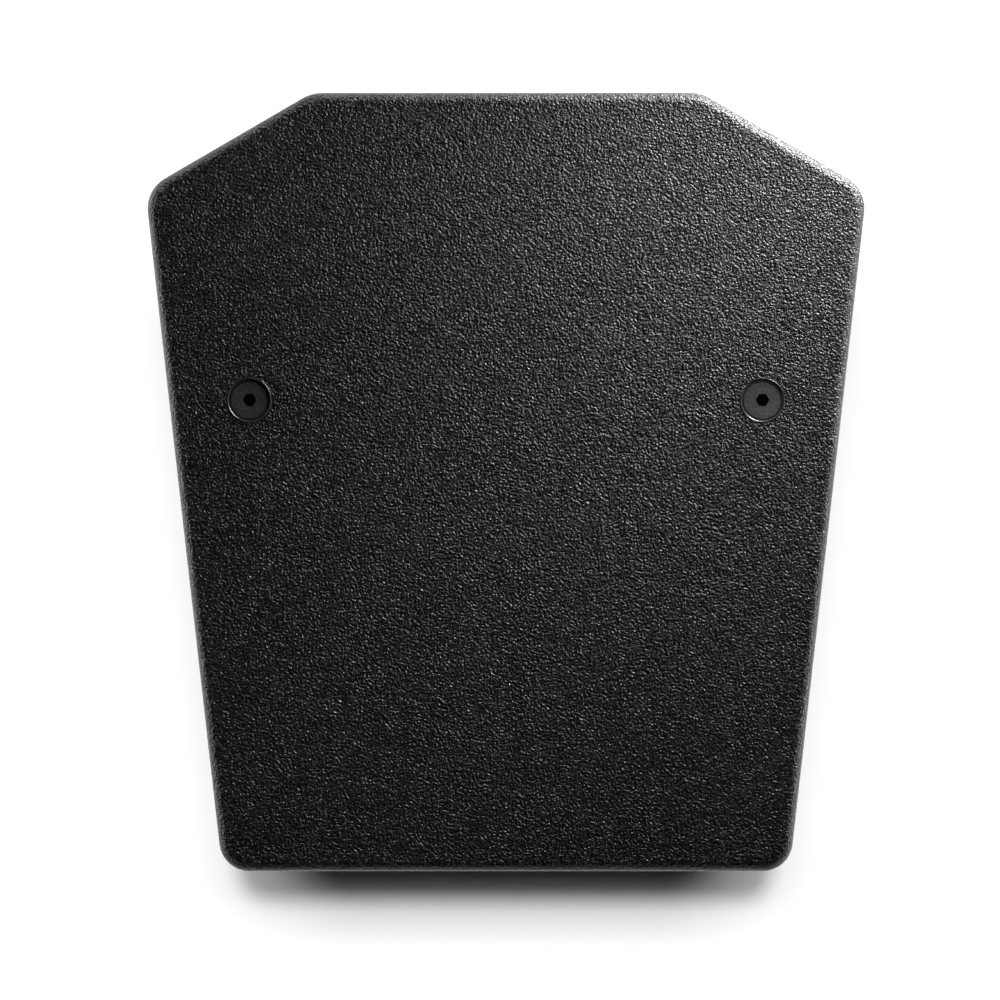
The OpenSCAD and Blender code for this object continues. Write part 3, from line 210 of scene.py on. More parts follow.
def soften(piece, bevel=0.0, segments=2, weld=True):
    """Welds and shades a mesh with modifiers, and rounds its edges by the bevel width."""
    if weld:
        piece.modifiers.new("weld", "WELD").merge_threshold = WELD_DISTANCE
    if bevel:
        rounding = piece.modifiers.new("bevel", "BEVEL")
        rounding.width = bevel
        rounding.segments = segments
        rounding.limit_method = "ANGLE"
        rounding.angle_limit = BEVEL_ANGLE
        rounding.use_clamp_overlap = True
    piece.modifiers.new("smooth", "NODES").node_group = SMOOTH
    piece.modifiers.new("normals", "WEIGHTED_NORMAL").keep_sharp = True
    return piece


def new_piece(name, points, faces):
    """A mesh object from points and faces, with its normals turned outwards."""
    mesh = bpy.data.meshes.new(name)
    mesh.from_pydata([tuple(p) for p in points], [], faces)
    piece = bpy.data.objects.new(name, mesh)
    bpy.context.scene.collection.objects.link(piece)
    shape = bmesh.new()
    shape.from_mesh(mesh)
    bmesh.ops.remove_doubles(shape, verts=shape.verts, dist=MERGE_DISTANCE)
    bmesh.ops.dissolve_degenerate(shape, edges=shape.edges, dist=MERGE_DISTANCE)
    bmesh.ops.recalc_face_normals(shape, faces=shape.faces)
    shape.to_mesh(mesh)
    shape.free()
    return piece


def lathe(profile, steps, start=0.0, turn=2 * math.pi):
    """Points and faces of a closed profile of (radius, height) turned about Z.

    A part turn leaves its two ends open.
    """
    closed = abs(turn - 2 * math.pi) < 1e-9
    rings = steps if closed else steps + 1
    n = len(profile)
    points, faces = [], []
    for i in range(rings):
        angle = start + turn * i / steps
        points += [Vector((r * math.cos(angle), r * math.sin(angle), z)) for r, z in profile]
    for i in range(steps):
        a, b = i * n, (i + 1) % rings * n
        faces += [(a + k, a + (k + 1) % n, b + (k + 1) % n, b + k) for k in range(n)]
    return points, faces


def placed(points, matrix):
    return [matrix @ p for p in points]


def middle(node):
    """Centre of a node's box."""
    a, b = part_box(node)
    return (a + b) / 2


def facing(normal, centre):
    """Matrix that puts local +Z along a horizontal normal and local +Y up, at a centre."""
    z = Vector(normal).normalized()
    y = Vector((0, 0, 1))
    x = y.cross(z)
    rows = Matrix((x, y, z)).transposed().to_4x4()
    return Matrix.Translation(centre) @ rows


# ---- Finishes ----


def coat_finish():
    """Sprayed polyurea on plywood: a black crust of half-millimetre grains, its colour darkened from the
    grain tops down into the pits as painted shade.
    """
    f = Finish("textured_coat", specular=0.5)
    tree = f.tree
    grains = noise(tree, f.where, 880, detail=2.0, roughness=0.5, distortion=0.4)
    lumps = noise(tree, f.where, 210, detail=1.0)
    pitted = {"Vector": f.where, "Scale": 720, "Smoothness": 0.5}
    cells = put(tree, "TexVoronoi", pitted, feature="SMOOTH_F1").outputs["Distance"]
    crust = multiply_add(tree, cells, -0.35, grains)
    height = multiply_add(tree, lumps, 0.25, crust)
    # painted shade: the colour falls to near black with depth, standing in for shade in the pits that the
    # bump can't cast
    f.colour(height, [(0.38, 0.0003), (0.5, 0.004), (0.6, 0.02), (0.72, 0.09)])
    f.roughness(height, [(0.35, 0.4), (0.62, 0.32)])
    f.bump(height, 1.05 * MM)
    return f


def powder_finish(name, dark, light, grain=1400, rough=0.42):
    """Powder coat on steel: a fine orange peel with slightly worn high spots."""
    f = Finish(name, specular=0.45)
    fine = noise(f.tree, f.where, grain, detail=3, roughness=0.6)
    wide = noise(f.tree, f.where, 18, detail=3)
    mixed = math_node(f.tree, "MULTIPLY", fine, wide)
    f.colour(mixed, [(0.12, dark), (0.45, light)])
    f.roughness(wide, [(0.3, rough), (0.7, rough + 0.14)])
    f.bump(fine, 0.15 * MM, 0.6)
    return f


def bare_metal_finish(name, dark, light, rough=0.32, brushed=(1, 1, 1), dull=0.0):
    """Plated or cast metal with fine marks along one way and faint stains."""
    f = Finish(name, metallic=1.0 - dull)
    marks = noise(f.tree, stretched(f.tree, f.where, brushed), 900, detail=4, roughness=0.7)
    stains = noise(f.tree, f.where, 60, detail=4, roughness=0.6)
    f.colour(math_node(f.tree, "MULTIPLY", marks, stains), [(0.1, dark), (0.45, light)])
    f.roughness(marks, [(0.3, rough - 0.07), (0.7, rough + 0.12)])
    f.bump(marks, 0.06 * MM, 0.5)
    return f


def moulded_finish(name, dark, light, rough=0.5, grain=1800, depth=0.08):
    """Moulded plastic or rubber with a fine spark-eroded grain."""
    f = Finish(name, specular=0.4)
    fine = noise(f.tree, f.where, grain, detail=2, roughness=0.6)
    haze = noise(f.tree, f.where, 35, detail=3)
    f.colour(haze, [(0.3, dark), (0.7, light)])
    f.roughness(math_node(f.tree, "MULTIPLY", fine, haze), [(0.1, rough + 0.1), (0.4, rough - 0.05)])
    f.bump(fine, depth * MM, 0.7)
    return f


def paper_finish():
    """Pressed paper pulp with short fibres and shallow rings."""
    f = Finish("paper_pulp", specular=0.25, sheen=0.1)
    across = stretched(f.tree, f.where, (1, 1, 2.2))
    fibres = noise(f.tree, across, 700, detail=5, roughness=0.75, distortion=1.5)
    clouds = noise(f.tree, f.where, 45, detail=3)
    f.colour(math_node(f.tree, "MULTIPLY", fibres, clouds), [(0.1, 0.008), (0.35, 0.03)])
    f.roughness(fibres, [(0.3, 0.95), (0.7, 0.72)])
    f.bump(fibres, 0.25 * MM, 0.8)
    return f


def ply_finish():
    """Birch plywood: plies in layers through its thickness, and a long fine grain."""
    f = Finish("birch_ply", specular=0.3)
    along = stretched(f.tree, f.where, (6, 6, 0.5))
    grain = noise(f.tree, along, 60, detail=6, roughness=0.65, distortion=0.6)
    bands = {"Vector": f.where, "Scale": 105, "Distortion": 0.6}
    plies = put(f.tree, "TexWave", bands, bands_direction="Z").outputs["Fac"]
    mixed = math_node(f.tree, "MULTIPLY", grain, plies)
    f.colour(mixed, [(0.0, (0.36, 0.21, 0.09)), (0.35, (0.58, 0.40, 0.21)), (0.8, (0.70, 0.53, 0.32))])
    f.roughness(grain, [(0.3, 0.7), (0.7, 0.55)])
    f.bump(grain, 0.1 * MM, 0.5)
    return f


METRE_WAVE = 0.31        # scale at which a wave texture has one band a metre


def woven_finish(name, dark, light, pitch, specular=0.2):
    """Cloth: two crossed sets of threads, the pitch apart."""
    f = Finish(name, specular=specular, sheen=0.2)
    threads = []
    for direction in ("X", "Z"):
        bands = {"Vector": f.where, "Scale": METRE_WAVE / pitch, "Distortion": 0.4}
        wave = put(f.tree, "TexWave", bands, bands_direction=direction)
        threads.append(wave.outputs["Fac"])
    weave = math_node(f.tree, "MAXIMUM", *threads)
    fuzz = noise(f.tree, f.where, 900, detail=3)
    f.colour(math_node(f.tree, "MULTIPLY", weave, fuzz), [(0.05, dark), (0.6, light)])
    f.roughness(fuzz, [(0.3, 0.95), (0.7, 0.8)])
    f.bump(weave, 0.3 * MM, 0.8)
    return f


def felt_finish():
    """Grey wadding with tangled fibres and tufts."""
    f = Finish("felt", specular=0.1, sheen=0.4)
    fibres = noise(f.tree, f.where, 380, detail=6, roughness=0.8, distortion=2.5)
    tufts = noise(f.tree, f.where, 55, detail=3)
    f.colour(math_node(f.tree, "MULTIPLY", fibres, tufts), [(0.08, 0.10), (0.4, 0.42)])
    f.roughness(fibres, [(0.3, 1.0), (0.7, 0.85)])
    f.bump(math_node(f.tree, "ADD", fibres, tufts), 2.5 * MM, 0.8)
    return f


def wound_finish():
    """Enamelled copper wire in close turns."""
    f = Finish("copper_wire", metallic=0.9, coat=0.3)
    bands = {"Vector": f.where, "Scale": 260, "Distortion": 0.3}
    turns = put(f.tree, "TexWave", bands, bands_direction="Z").outputs["Fac"]
    tarnish = noise(f.tree, f.where, 90, detail=3)
    f.colour(math_node(f.tree, "MULTIPLY", turns, tarnish),
             [(0.05, (0.12, 0.035, 0.015)), (0.5, (0.62, 0.26, 0.12))])
    f.roughness(tarnish, [(0.3, 0.25), (0.7, 0.42)])
    f.bump(turns, 0.35 * MM, 0.8)
    return f


def board_finish():
    """Green solder mask over fine tracks."""
    f = Finish("circuit_board", coat=0.25)
    pattern = {"Vector": f.where, "Scale": 42, "Mortar Size": 0.06}
    tracks = put(f.tree, "TexBrick", pattern, offset=0.37).outputs["Fac"]
    haze = noise(f.tree, f.where, 120, detail=2)
    f.colour(math_node(f.tree, "MULTIPLY", tracks, haze),
             [(0.0, (0.012, 0.09, 0.035)), (0.4, (0.03, 0.20, 0.08))])
    f.roughness(haze, [(0.3, 0.3), (0.7, 0.42)])
    f.bump(tracks, 0.08 * MM, 0.6)
    return f


def ceramic_finish(name, dark, light, rough):
    """Pressed and fired powder with fine pores."""
    f = Finish(name, specular=0.4)
    pores = noise(f.tree, f.where, 1500, detail=4, roughness=0.7)
    f.colour(pores, [(0.3, dark), (0.7, light)])
    f.roughness(pores, [(0.3, rough + 0.12), (0.7, rough)])
    f.bump(pores, 0.12 * MM, 0.7)
    return f


COAT = coat_finish()
PLY = ply_finish()
GRILLE_STEEL = powder_finish("grille_powder_coat", 0.006, 0.022)
BLACK_STEEL = powder_finish("black_powder_coat", 0.008, 0.028, grain=2200)
HEAD_STEEL = powder_finish("screw_head_coat", 0.032, 0.105, grain=700, rough=0.38)
STAINED_PLY = moulded_finish("stained_ply", 0.006, 0.016, rough=0.6, grain=500)
BURNISHED = powder_finish("burnished_steel", 0.02, 0.05, grain=3000, rough=0.12)
ZINC = bare_metal_finish("zinc_plate", (0.34, 0.35, 0.37), (0.66, 0.68, 0.70))
CAST = bare_metal_finish("cast_aluminium", 0.035, 0.12, rough=0.5, dull=0.5)
TITANIUM = bare_metal_finish("titanium_foil", (0.3, 0.29, 0.28), (0.55, 0.53, 0.5), rough=0.28)
RUBBER = moulded_finish("black_rubber", 0.006, 0.014, rough=0.72, grain=1200, depth=0.15)
LEAD_JACKET = moulded_finish("lead_jacket", 0.010, 0.022, rough=0.5, grain=600)
PLASTIC = moulded_finish("black_plastic", 0.007, 0.018, rough=0.48)
PAPER = paper_finish()
COPPER = wound_finish()
SPIDER_CLOTH = woven_finish("spider_cloth", (0.18, 0.09, 0.03), (0.46, 0.27, 0.10), 0.8 * MM)
FERRITE = ceramic_finish("ferrite", 0.018, 0.045, 0.5)
CERAMIC = ceramic_finish("white_ceramic", 0.55, 0.78, 0.6)
BOARD = board_finish()
CAPACITOR = moulded_finish("capacitor_film", (0.42, 0.28, 0.04), (0.62, 0.45, 0.09), rough=0.3, grain=400)
FELT = felt_finish()

SLOTS = {
    "coat": COAT, "birch_ply": PLY, "grille_steel": GRILLE_STEEL, "black_steel": BLACK_STEEL,
    "zinc_steel": ZINC, "black_rubber": RUBBER, "black_plastic": PLASTIC, "cast_aluminium": CAST,
    "paper_cone": PAPER, "copper": COPPER, "spider_cloth": SPIDER_CLOTH, "ferrite": FERRITE,
    "titanium": TITANIUM, "circuit_board": BOARD, "capacitor_film": CAPACITOR, "ceramic": CERAMIC,
    "lead_jacket": LEAD_JACKET, "damping_felt": FELT,
}

# Nodes whose finish differs from the rest of their slot: dull screw heads and stained battens
OWN_FINISH = {"rigging_screws": HEAD_STEEL, "grille_battens": STAINED_PLY}

# ---- The CAD nodes that stay: each takes its slot's finish and its own edge rounding ----

EDGE_ROUNDING = {
    "rigging_screws": 0.35 * MM, "grille_screws": 0.4 * MM, "handle_screws": 0.4 * MM,
    "input_screws": 0.3 * MM, "pole_socket": 0.6 * MM, "pole_socket_screws": 0.4 * MM,
    "feet": 1.6 * MM, "foot_screws": 0.4 * MM, "handle_cup_left": 1.0 * MM, "handle_cup_right": 1.0 * MM,
    "input_dish": 0.8 * MM, "woofer_screws": 0.4 * MM, "horn_screws": 0.4 * MM,
    "woofer_basket": 0.8 * MM, "port_tubes": 0.4 * MM,
}


def dress_nodes():
    """Gives every CAD node its finish and softens its edges."""
    for part in frame["record"]["subparts"]:
        node = frame["nodes"][part["node"]]
        finish = OWN_FINISH.get(part["node"], SLOTS[part["material_slot"]])
        dress(node, finish)
        soften(node, EDGE_ROUNDING.get(part["node"], 0.0))


dress_nodes()

# ---- Grille: hexagonal holes through one folded sheet ----

FRONT_HALF = 97.25 * MM         # the cabinet's plan: half width of the front facet,
SHOULDER_HALF = 180.4 * MM      # half width where the slanted facet meets the side,
SHOULDER_BACK = 48.4 * MM       # and how far that corner lies behind the front
FRONT_RADIUS = 20 * MM          # rounding of the cabinet's front corners
GRILLE_SETBACK = 3.5 * MM
GRILLE_SHEET = 1.2 * MM
HOLE_PITCH = 7.0 * MM
HOLE_WEB = 1.3 * MM             # steel left between two holes
HEXAGON_REACH = 0.6 * HOLE_PITCH        # a cell's corners lie 0.58 of the pitch from its centre
GRILLE_MARGIN = 9.5 * MM        # plain border that the screws pass through


class FoldedStrip:
    """The grille's outer face as a flat strip (s, z): a middle facet, two folds and two slanted facets."""

    def __init__(self):
        rise = SHOULDER_BACK
        run = SHOULDER_HALF - FRONT_HALF
        self.turn = math.atan2(rise, run)
        self.radius = FRONT_RADIUS - GRILLE_SETBACK
        tangent = FRONT_RADIUS * math.tan(self.turn / 2)
        self.flat = FRONT_HALF - tangent
        self.fold = self.radius * self.turn
        edge_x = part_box("grille")[1].x
        bend_end = self.flat + self.radius * math.sin(self.turn)
        self.half = self.flat + self.fold + (edge_x - bend_end) / math.cos(self.turn)
        self.y = low.y + GRILLE_SETBACK

    def point(self, s, z):
        """Where a point of the flat strip lies once it is folded."""
        side, d = math.copysign(1, s), abs(s)
        x, y, left = min(d, self.flat), 0.0, d - self.flat
        if left > 0:
            angle = min(left / self.radius, self.turn)
            x += self.radius * math.sin(angle)
            y += self.radius * (1 - math.cos(angle))
        if left > self.fold:
            x += (left - self.fold) * math.cos(self.turn)
            y += (left - self.fold) * math.sin(self.turn)
        return Vector((side * x, self.y + y, z))


def hexagon(centre, across):
    """Corners of a hexagon with flat sides left and right, across wide."""
    r = across / math.sqrt(3)
    turns = [math.radians(60 * k) for k in range(6)]
    return [(centre[0] + r * math.sin(turn), centre[1] + r * math.cos(turn)) for turn in turns]


def make_grille():
    """Rings of steel round the holes, and whole hexagons in the border, cut off at the strip's edges."""
    strip = FoldedStrip()
    bottom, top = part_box("grille")[0].z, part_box("grille")[1].z
    middle_z = (bottom + top) / 2
    row = HOLE_PITCH * math.sqrt(3) / 2
    columns = int(strip.half / HOLE_PITCH) + 2
    rows = int((top - bottom) / 2 / row) + 2
    points, faces = [], []

    def add(flat_points):
        start = len(points)
        for s, z in flat_points:
            s = max(-strip.half, min(strip.half, s))
            z = max(bottom, min(top, z))
            points.append(strip.point(s, z))
        return start

    for j in range(-rows, rows + 1):
        for i in range(-columns, columns + 1):
            centre = ((i + 0.5 * (j % 2)) * HOLE_PITCH, middle_z + j * row)
            outside_s = abs(centre[0]) - strip.half
            outside_z = abs(centre[1] - middle_z) - (top - bottom) / 2
            if max(outside_s, outside_z) > HEXAGON_REACH:
                continue
            first = add(hexagon(centre, HOLE_PITCH))
            if max(outside_s, outside_z) > -GRILLE_MARGIN:
                faces.append(tuple(first + k for k in range(6)))
                continue
            second = add(hexagon(centre, HOLE_PITCH - HOLE_WEB))
            for k in range(6):
                n = (k + 1) % 6
                faces.append((first + k, first + n, second + n, second + k))
    grille = new_piece("grille_sheet", points, faces)
    sheet = grille.modifiers.new("sheet", "SOLIDIFY")
    sheet.thickness = GRILLE_SHEET
    sheet.offset = -1
    dress(grille, GRILLE_STEEL)
    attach(grille, "cabinet")
    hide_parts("grille")


make_grille()

# ---- Rigging screws: a cup washer with a thin lip on the coat, and a dark ring over the head's rim as painted shade for the gap round the head ----

RIG_HEAD = 19.5 * MM         # head diameter
RIG_REAR_DROP = 82 * MM      # from the cabinet's top to the rear rigging screw
RING_STEPS = 96

# (radius, height over the panel) in mm
CUP_PROFILE = [(10.3, -0.6), (10.38, -0.1), (10.5, 0.02), (10.78, 0.26), (10.95, 0.28), (11.1, 0.14),
               (11.12, -0.1), (10.8, -0.3)]
# dark ring over the head's rim: painted shade, a dark sheet standing in for the shadowed gap round the
# head
SHADE_RING_PROFILE = [(9.05, -0.5), (9.05, -0.33), (9.2, -0.28), (10.1, -0.3), (10.45, -0.42), (10.35, -0.55)]


def make_rigging_rings():
    """Two rings round each rigging screw: two screws on the top panel and one on the rear panel."""
    a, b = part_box("rigging_screws")
    head = RIG_HEAD / 2
    places = [
        ("top_right", Matrix.Translation((b.x - head, a.y + head, high.z))),
        ("top_left", Matrix.Translation((a.x + head, a.y + head, high.z))),
        ("rear", facing((0, 1, 0), Vector((0, high.y, high.z - RIG_REAR_DROP)))),
    ]
    rings = [
        ("cup", CUP_PROFILE, BURNISHED, "black_steel"),
        # the second ring is painted shade: a dark ring where the gap round the head is in shadow
        ("shade_ring", SHADE_RING_PROFILE, RUBBER, "black_rubber"),
    ]
    for place, matrix in places:
        for kind, profile, finish, slot_name in rings:
            points, faces = lathe([(r * MM, z * MM) for r, z in profile], RING_STEPS)
            ring = new_piece(f"rigging_{kind}_{place}", placed(points, matrix), faces)
            dress(ring, finish)
            soften(ring)
            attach(ring, "cabinet")


make_rigging_rings()

# ---- Handle grips: a rubber sleeve with finger ridges on each bar ----

GRIP_RADIUS = 11 * MM
GRIP_RIDGES = 11
RIDGE_DEPTH = 1.3 * MM
GRIP_STEPS = 40
STEPS_PER_RIDGE = 10
COLLAR_LENGTH = 9 * MM
COLLAR_PLAIN = 0.8              # share of the collar before it slopes to the ridges
RIDGE_POWER = 0.6               # below 1: broad crests and narrow grooves
SIDE_BACK_X = 141.75 * MM       # half width of the cabinet's sharp rear corner


def grip_profile(length):
    """(radius, height) from end to end: plain collars, and ridges between them."""
    ridged = length - 2 * COLLAR_LENGTH
    plain = COLLAR_LENGTH * COLLAR_PLAIN
    groove = GRIP_RADIUS - RIDGE_DEPTH
    profile = [(0, 0), (GRIP_RADIUS, 0), (GRIP_RADIUS, plain), (groove, COLLAR_LENGTH)]
    samples = GRIP_RIDGES * STEPS_PER_RIDGE
    for i in range(1, samples):
        t = i / samples
        wave = abs(math.sin(math.pi * GRIP_RIDGES * t)) ** RIDGE_POWER
        profile.append((GRIP_RADIUS - RIDGE_DEPTH * (1 - wave), COLLAR_LENGTH + ridged * t))
    profile += [(groove, length - COLLAR_LENGTH), (GRIP_RADIUS, length - plain)]
    return profile + [(GRIP_RADIUS, length), (0, length)]


def make_grips():
    """One grip along each side panel, which tapers towards the rear."""
    taper_run = Vector((SIDE_BACK_X - SHOULDER_HALF, high.y - (low.y + SHOULDER_BACK), 0)).normalized()
    a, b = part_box("handle_bars")
    for side, name in ((1, "right"), (-1, "left")):
        along = Vector((side * taper_run.x, taper_run.y, 0))
        reach = b.y - a.y
        length = (reach - 2 * GRIP_RADIUS * abs(along.x)) / along.y
        across = Vector((along.y, -along.x, 0)) * side
        outer = b.x if side > 0 else a.x
        centre = Vector((0, (a.y + b.y) / 2, (a.z + b.z) / 2))
        centre.x = outer - side * (GRIP_RADIUS * abs(across.x) + length / 2 * abs(along.x))
        rows = Matrix((Vector((0, 0, 1)), along.cross(Vector((0, 0, 1))), along)).transposed().to_4x4()
        matrix = Matrix.Translation(centre - along * length / 2) @ rows
        points, faces = lathe(grip_profile(length), GRIP_STEPS)
        grip = new_piece(f"handle_grip_{name}", placed(points, matrix), faces)
        dress(grip, RUBBER)
        soften(grip)
        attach(grip, "cabinet")
        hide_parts("handle_bars")


make_grips()

# ---- Speaker sockets: flange, collar with bayonet notches, centre post and contacts ----

SOCKET_RADIUS = 11.5 * MM
SOCKET_STEPS = 72
SOCKET_FLANGE = (28 * MM, 34 * MM)
SOCKET_DEPTH = 16 * MM
FLANGE_T = 2 * MM
FLANGE_EXPONENT = 7.0           # how square the flange is: 2 is an ellipse
COLLAR_WIDTH = 3.4 * MM
COLLAR_RISE = 1.6 * MM
POST_RADIUS = 4.5 * MM
NOTCHES = ((90, 14), (210, 10), (330, 10))      # direction and half width of each, in degrees
NOTCH_DEPTH = 1.6 * MM
CONTACT_SIZE = (0.7 * MM, 3 * MM, SOCKET_DEPTH * 0.45)
COPPER_STRIP = bare_metal_finish("contact_strip", (0.42, 0.30, 0.12), (0.75, 0.58, 0.30), rough=0.25)


def socket_ring(radius, notched):
    """Points round the mouth, let out by the notches."""
    points = []
    for i in range(SOCKET_STEPS):
        angle = 360 * i / SOCKET_STEPS
        inside = any(abs((angle - at + 180) % 360 - 180) < half for at, half in NOTCHES)
        r = radius + (NOTCH_DEPTH if notched and inside else 0)
        points.append((r * math.cos(math.radians(angle)), r * math.sin(math.radians(angle))))
    return points


def rounded_outline(width, height, count):
    """count points round a rounded rectangle, one for each direction of a full turn."""
    points = []
    for i in range(count):
        angle = 2 * math.pi * i / count
        c, s = math.cos(angle), math.sin(angle)
        n = FLANGE_EXPONENT
        r = (abs(c / (width / 2)) ** n + abs(s / (height / 2)) ** n) ** (-1 / n)
        points.append((r * c, r * s))
    return points


def rings_to_mesh(rings):
    """Skin over rings of equally many 3-D points, open at both ends."""
    n = len(rings[0])
    points = [p for ring in rings for p in ring]
    faces = []
    for i in range(len(rings) - 1):
        for k in range(n):
            a, b = i * n + k, i * n + (k + 1) % n
            faces.append((a, b, b + n, a + n))
    return points, faces


def socket_rings():
    """Rings from the back of the flange over the collar, down the mouth and up to the top of the post."""
    flange = rounded_outline(*SOCKET_FLANGE, SOCKET_STEPS)
    collar = socket_ring(SOCKET_RADIUS + COLLAR_WIDTH, False)
    mouth = socket_ring(SOCKET_RADIUS, True)
    post = socket_ring(POST_RADIUS, False)
    sections = [        # outline, its scale and its height
        (flange, 1, -FLANGE_T), (flange, 1, -0.3 * MM), (flange, 0.985, 0),
        (collar, 1, 0), (collar, 0.985, COLLAR_RISE * 0.8), (collar, 0.96, COLLAR_RISE),
        (mouth, 1.04, COLLAR_RISE), (mouth, 1, COLLAR_RISE * 0.7), (mouth, 1, -SOCKET_DEPTH),
        (post, 1, -SOCKET_DEPTH), (post, 1, -SOCKET_DEPTH * 0.5), (post, 0.86, -SOCKET_DEPTH * 0.45),
    ]
    return [[Vector((x * k, y * k, z)) for x, y in outline] for outline, k, z in sections]


def make_sockets():
    """Two sockets in the input dish, closed at the back and on top of the post."""
    a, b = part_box("input_sockets")
    pitch = (b.x - a.x) - SOCKET_FLANGE[0]
    for side, name in ((1, "right"), (-1, "left")):
        matrix = facing((0, 1, 0), Vector((side * pitch / 2, b.y, (a.z + b.z) / 2)))
        rings = socket_rings()
        points, faces = rings_to_mesh(rings)
        last = (len(rings) - 1) * SOCKET_STEPS
        faces.append(tuple(last + k for k in range(SOCKET_STEPS)))
        faces.append(tuple(range(SOCKET_STEPS)))
        socket = new_piece(f"speaker_socket_{name}", placed(points, matrix), faces)
        dress(socket, PLASTIC)
        soften(socket)
        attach(socket, "cabinet")
        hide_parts("input_sockets")
        make_contacts(f"socket_contacts_{name}", matrix)


def box_mesh(size, matrix, bevel):
    """Points and faces of a box with chamfered edges along its length."""
    w, d, h = size[0] / 2, size[1] / 2, size[2]
    section = [(w - bevel, -d), (w, bevel - d), (w, d - bevel), (w - bevel, d),
               (bevel - w, d), (-w, d - bevel), (-w, bevel - d), (bevel - w, -d)]
    points = [matrix @ Vector((x, y, z)) for z in (0, h) for x, y in section]
    n = len(section)
    faces = [tuple(reversed(range(n))), tuple(n + k for k in range(n))]
    faces += [(k, (k + 1) % n, n + (k + 1) % n, n + k) for k in range(n)]
    return points, faces


def join_meshes(parts):
    """One list of points and one of faces from several."""
    points, faces = [], []
    for more_points, more_faces in parts:
        start = len(points)
        points += more_points
        faces += [tuple(start + k for k in face) for face in more_faces]
    return points, faces


def make_contacts(name, matrix):
    """Four sprung contacts, two on the post and two in the wall."""
    on_post = POST_RADIUS + 0.25 * MM
    on_wall = SOCKET_RADIUS - 0.35 * MM
    parts = []
    for angle, r in ((0, on_post), (90, on_wall), (180, on_post), (270, on_wall)):
        turn = Matrix.Rotation(math.radians(angle + 45), 4, "Z")
        place = matrix @ turn @ Matrix.Translation((r, 0, -SOCKET_DEPTH))
        parts.append(box_mesh(CONTACT_SIZE, place, 0.15 * MM))
    contacts = new_piece(name, *join_meshes(parts))
    dress(contacts, COPPER_STRIP)
    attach(contacts, "cabinet")


make_sockets()

# ---- Parts that flex: the surround and the spider in sectors, and the tinsel leads ----

SECTORS = 24
SECTOR_STEPS = 4
WOOFER_BAFFLE_Y = -140.5 * MM   # heights below are measured forward from here


def woofer_place():
    """Matrix that puts local +Z along the woofer's axis, from the baffle's front."""
    centre = middle("woofer_cone")
    return facing((0, -1, 0), Vector((centre.x, WOOFER_BAFFLE_Y, centre.z)))


def flex_ring(name, node, profile, finish):
    """A ring whose inner edge moves with the cone and whose outer edge stays, in sectors that meet."""
    matrix = woofer_place()
    width = 2 * math.pi / SECTORS
    for i in range(SECTORS):
        points, faces = lathe(profile, SECTOR_STEPS, start=i * width, turn=width)
        last = SECTOR_STEPS * len(profile)
        faces += [tuple(range(len(profile))), tuple(last + k for k in range(len(profile)))]
        sector = new_piece(f"{name}_{i + 1:02d}", placed(points, matrix), faces)
        dress(sector, finish)
        soften(sector, weld=False)
        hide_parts(node)
        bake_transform(sector)


def arc(centre, radius, first, last, steps):
    """(radius, height) points along an arc about (centre, 0), given in degrees."""
    turns = [math.radians(first + (last - first) * i / steps) for i in range(steps + 1)]
    return [(centre + radius * math.cos(turn), radius * math.sin(turn)) for turn in turns]


CONE_EDGE_Z = 5 * MM            # the cone's front edge, in front of the baffle
CONE_EDGE_RADIUS = 107 * MM
ROLL_INNER = 111.5 * MM
ROLL_OUTER = 126.5 * MM
SURROUND_RADIUS = 141 * MM
SURROUND_T = 1 * MM
ROLL_STEPS = 14
ROLL_TRIM = 7                   # degrees that the roll's upper side stops short of the lips
LEDGE_RADIUS = 88 * MM          # where the spider is glued to the frame
LEDGE_Z = -58 * MM
FORMER_RADIUS = 38.4 * MM
SPIDER_T = 0.8 * MM
SPIDER_WAVES = 4
SPIDER_WAVE = 2 * MM
SPIDER_WAVES_END = 80 * MM
SPIDER_STEPS = 48


def surround_profile():
    """Half roll between two flat lips, as a closed loop of (radius, height)."""
    roll = (ROLL_INNER + ROLL_OUTER) / 2
    under = (ROLL_OUTER - ROLL_INNER - SURROUND_T) / 2
    lower = [(CONE_EDGE_RADIUS, 0), *arc(roll, under, 180, 0, ROLL_STEPS), (SURROUND_RADIUS, 0)]
    over = arc(roll, under + SURROUND_T, ROLL_TRIM, 180 - ROLL_TRIM, ROLL_STEPS)
    upper = [(SURROUND_RADIUS, SURROUND_T), *over, (CONE_EDGE_RADIUS, SURROUND_T)]
    return [(r, z + CONE_EDGE_Z) for r, z in lower + upper]


def spider_profile():
    """Flat lips with waves between them, as a closed loop of (radius, height)."""
    waves_from = FORMER_RADIUS + 5 * MM
    reach = SPIDER_WAVES_END - waves_from
    turns = 2 * math.pi * SPIDER_WAVES
    shares = [i / SPIDER_STEPS for i in range(SPIDER_STEPS + 1)]
    rise = [(waves_from + reach * t, SPIDER_WAVE * math.sin(turns * t)) for t in shares]
    lower = [(FORMER_RADIUS, 0), *rise, (LEDGE_RADIUS - 0.3 * MM, 0)]
    upper = [(r, z + SPIDER_T) for r, z in reversed(lower)]
    return [(r, z + LEDGE_Z) for r, z in lower + upper]


flex_ring("woofer_surround", "woofer_surround", surround_profile(),
          RUBBER)
flex_ring("spider", "spider", spider_profile(),
          SPIDER_CLOTH)


def smooth_path(points, steps):
    """Catmull-Rom curve through points, with so many steps between two of them."""
    path = []
    for i in range(len(points) - 1):
        a, b, c = points[max(i - 1, 0)], points[i], points[i + 1]
        d = points[min(i + 2, len(points) - 1)]
        for k in range(steps):
            t = k / steps
            cubic = 2 * a - 5 * b + 4 * c - d + t * (3 * b - a - 3 * c + d)
            path.append(b + 0.5 * t * (c - a + t * cubic))
    return path + [points[-1]]


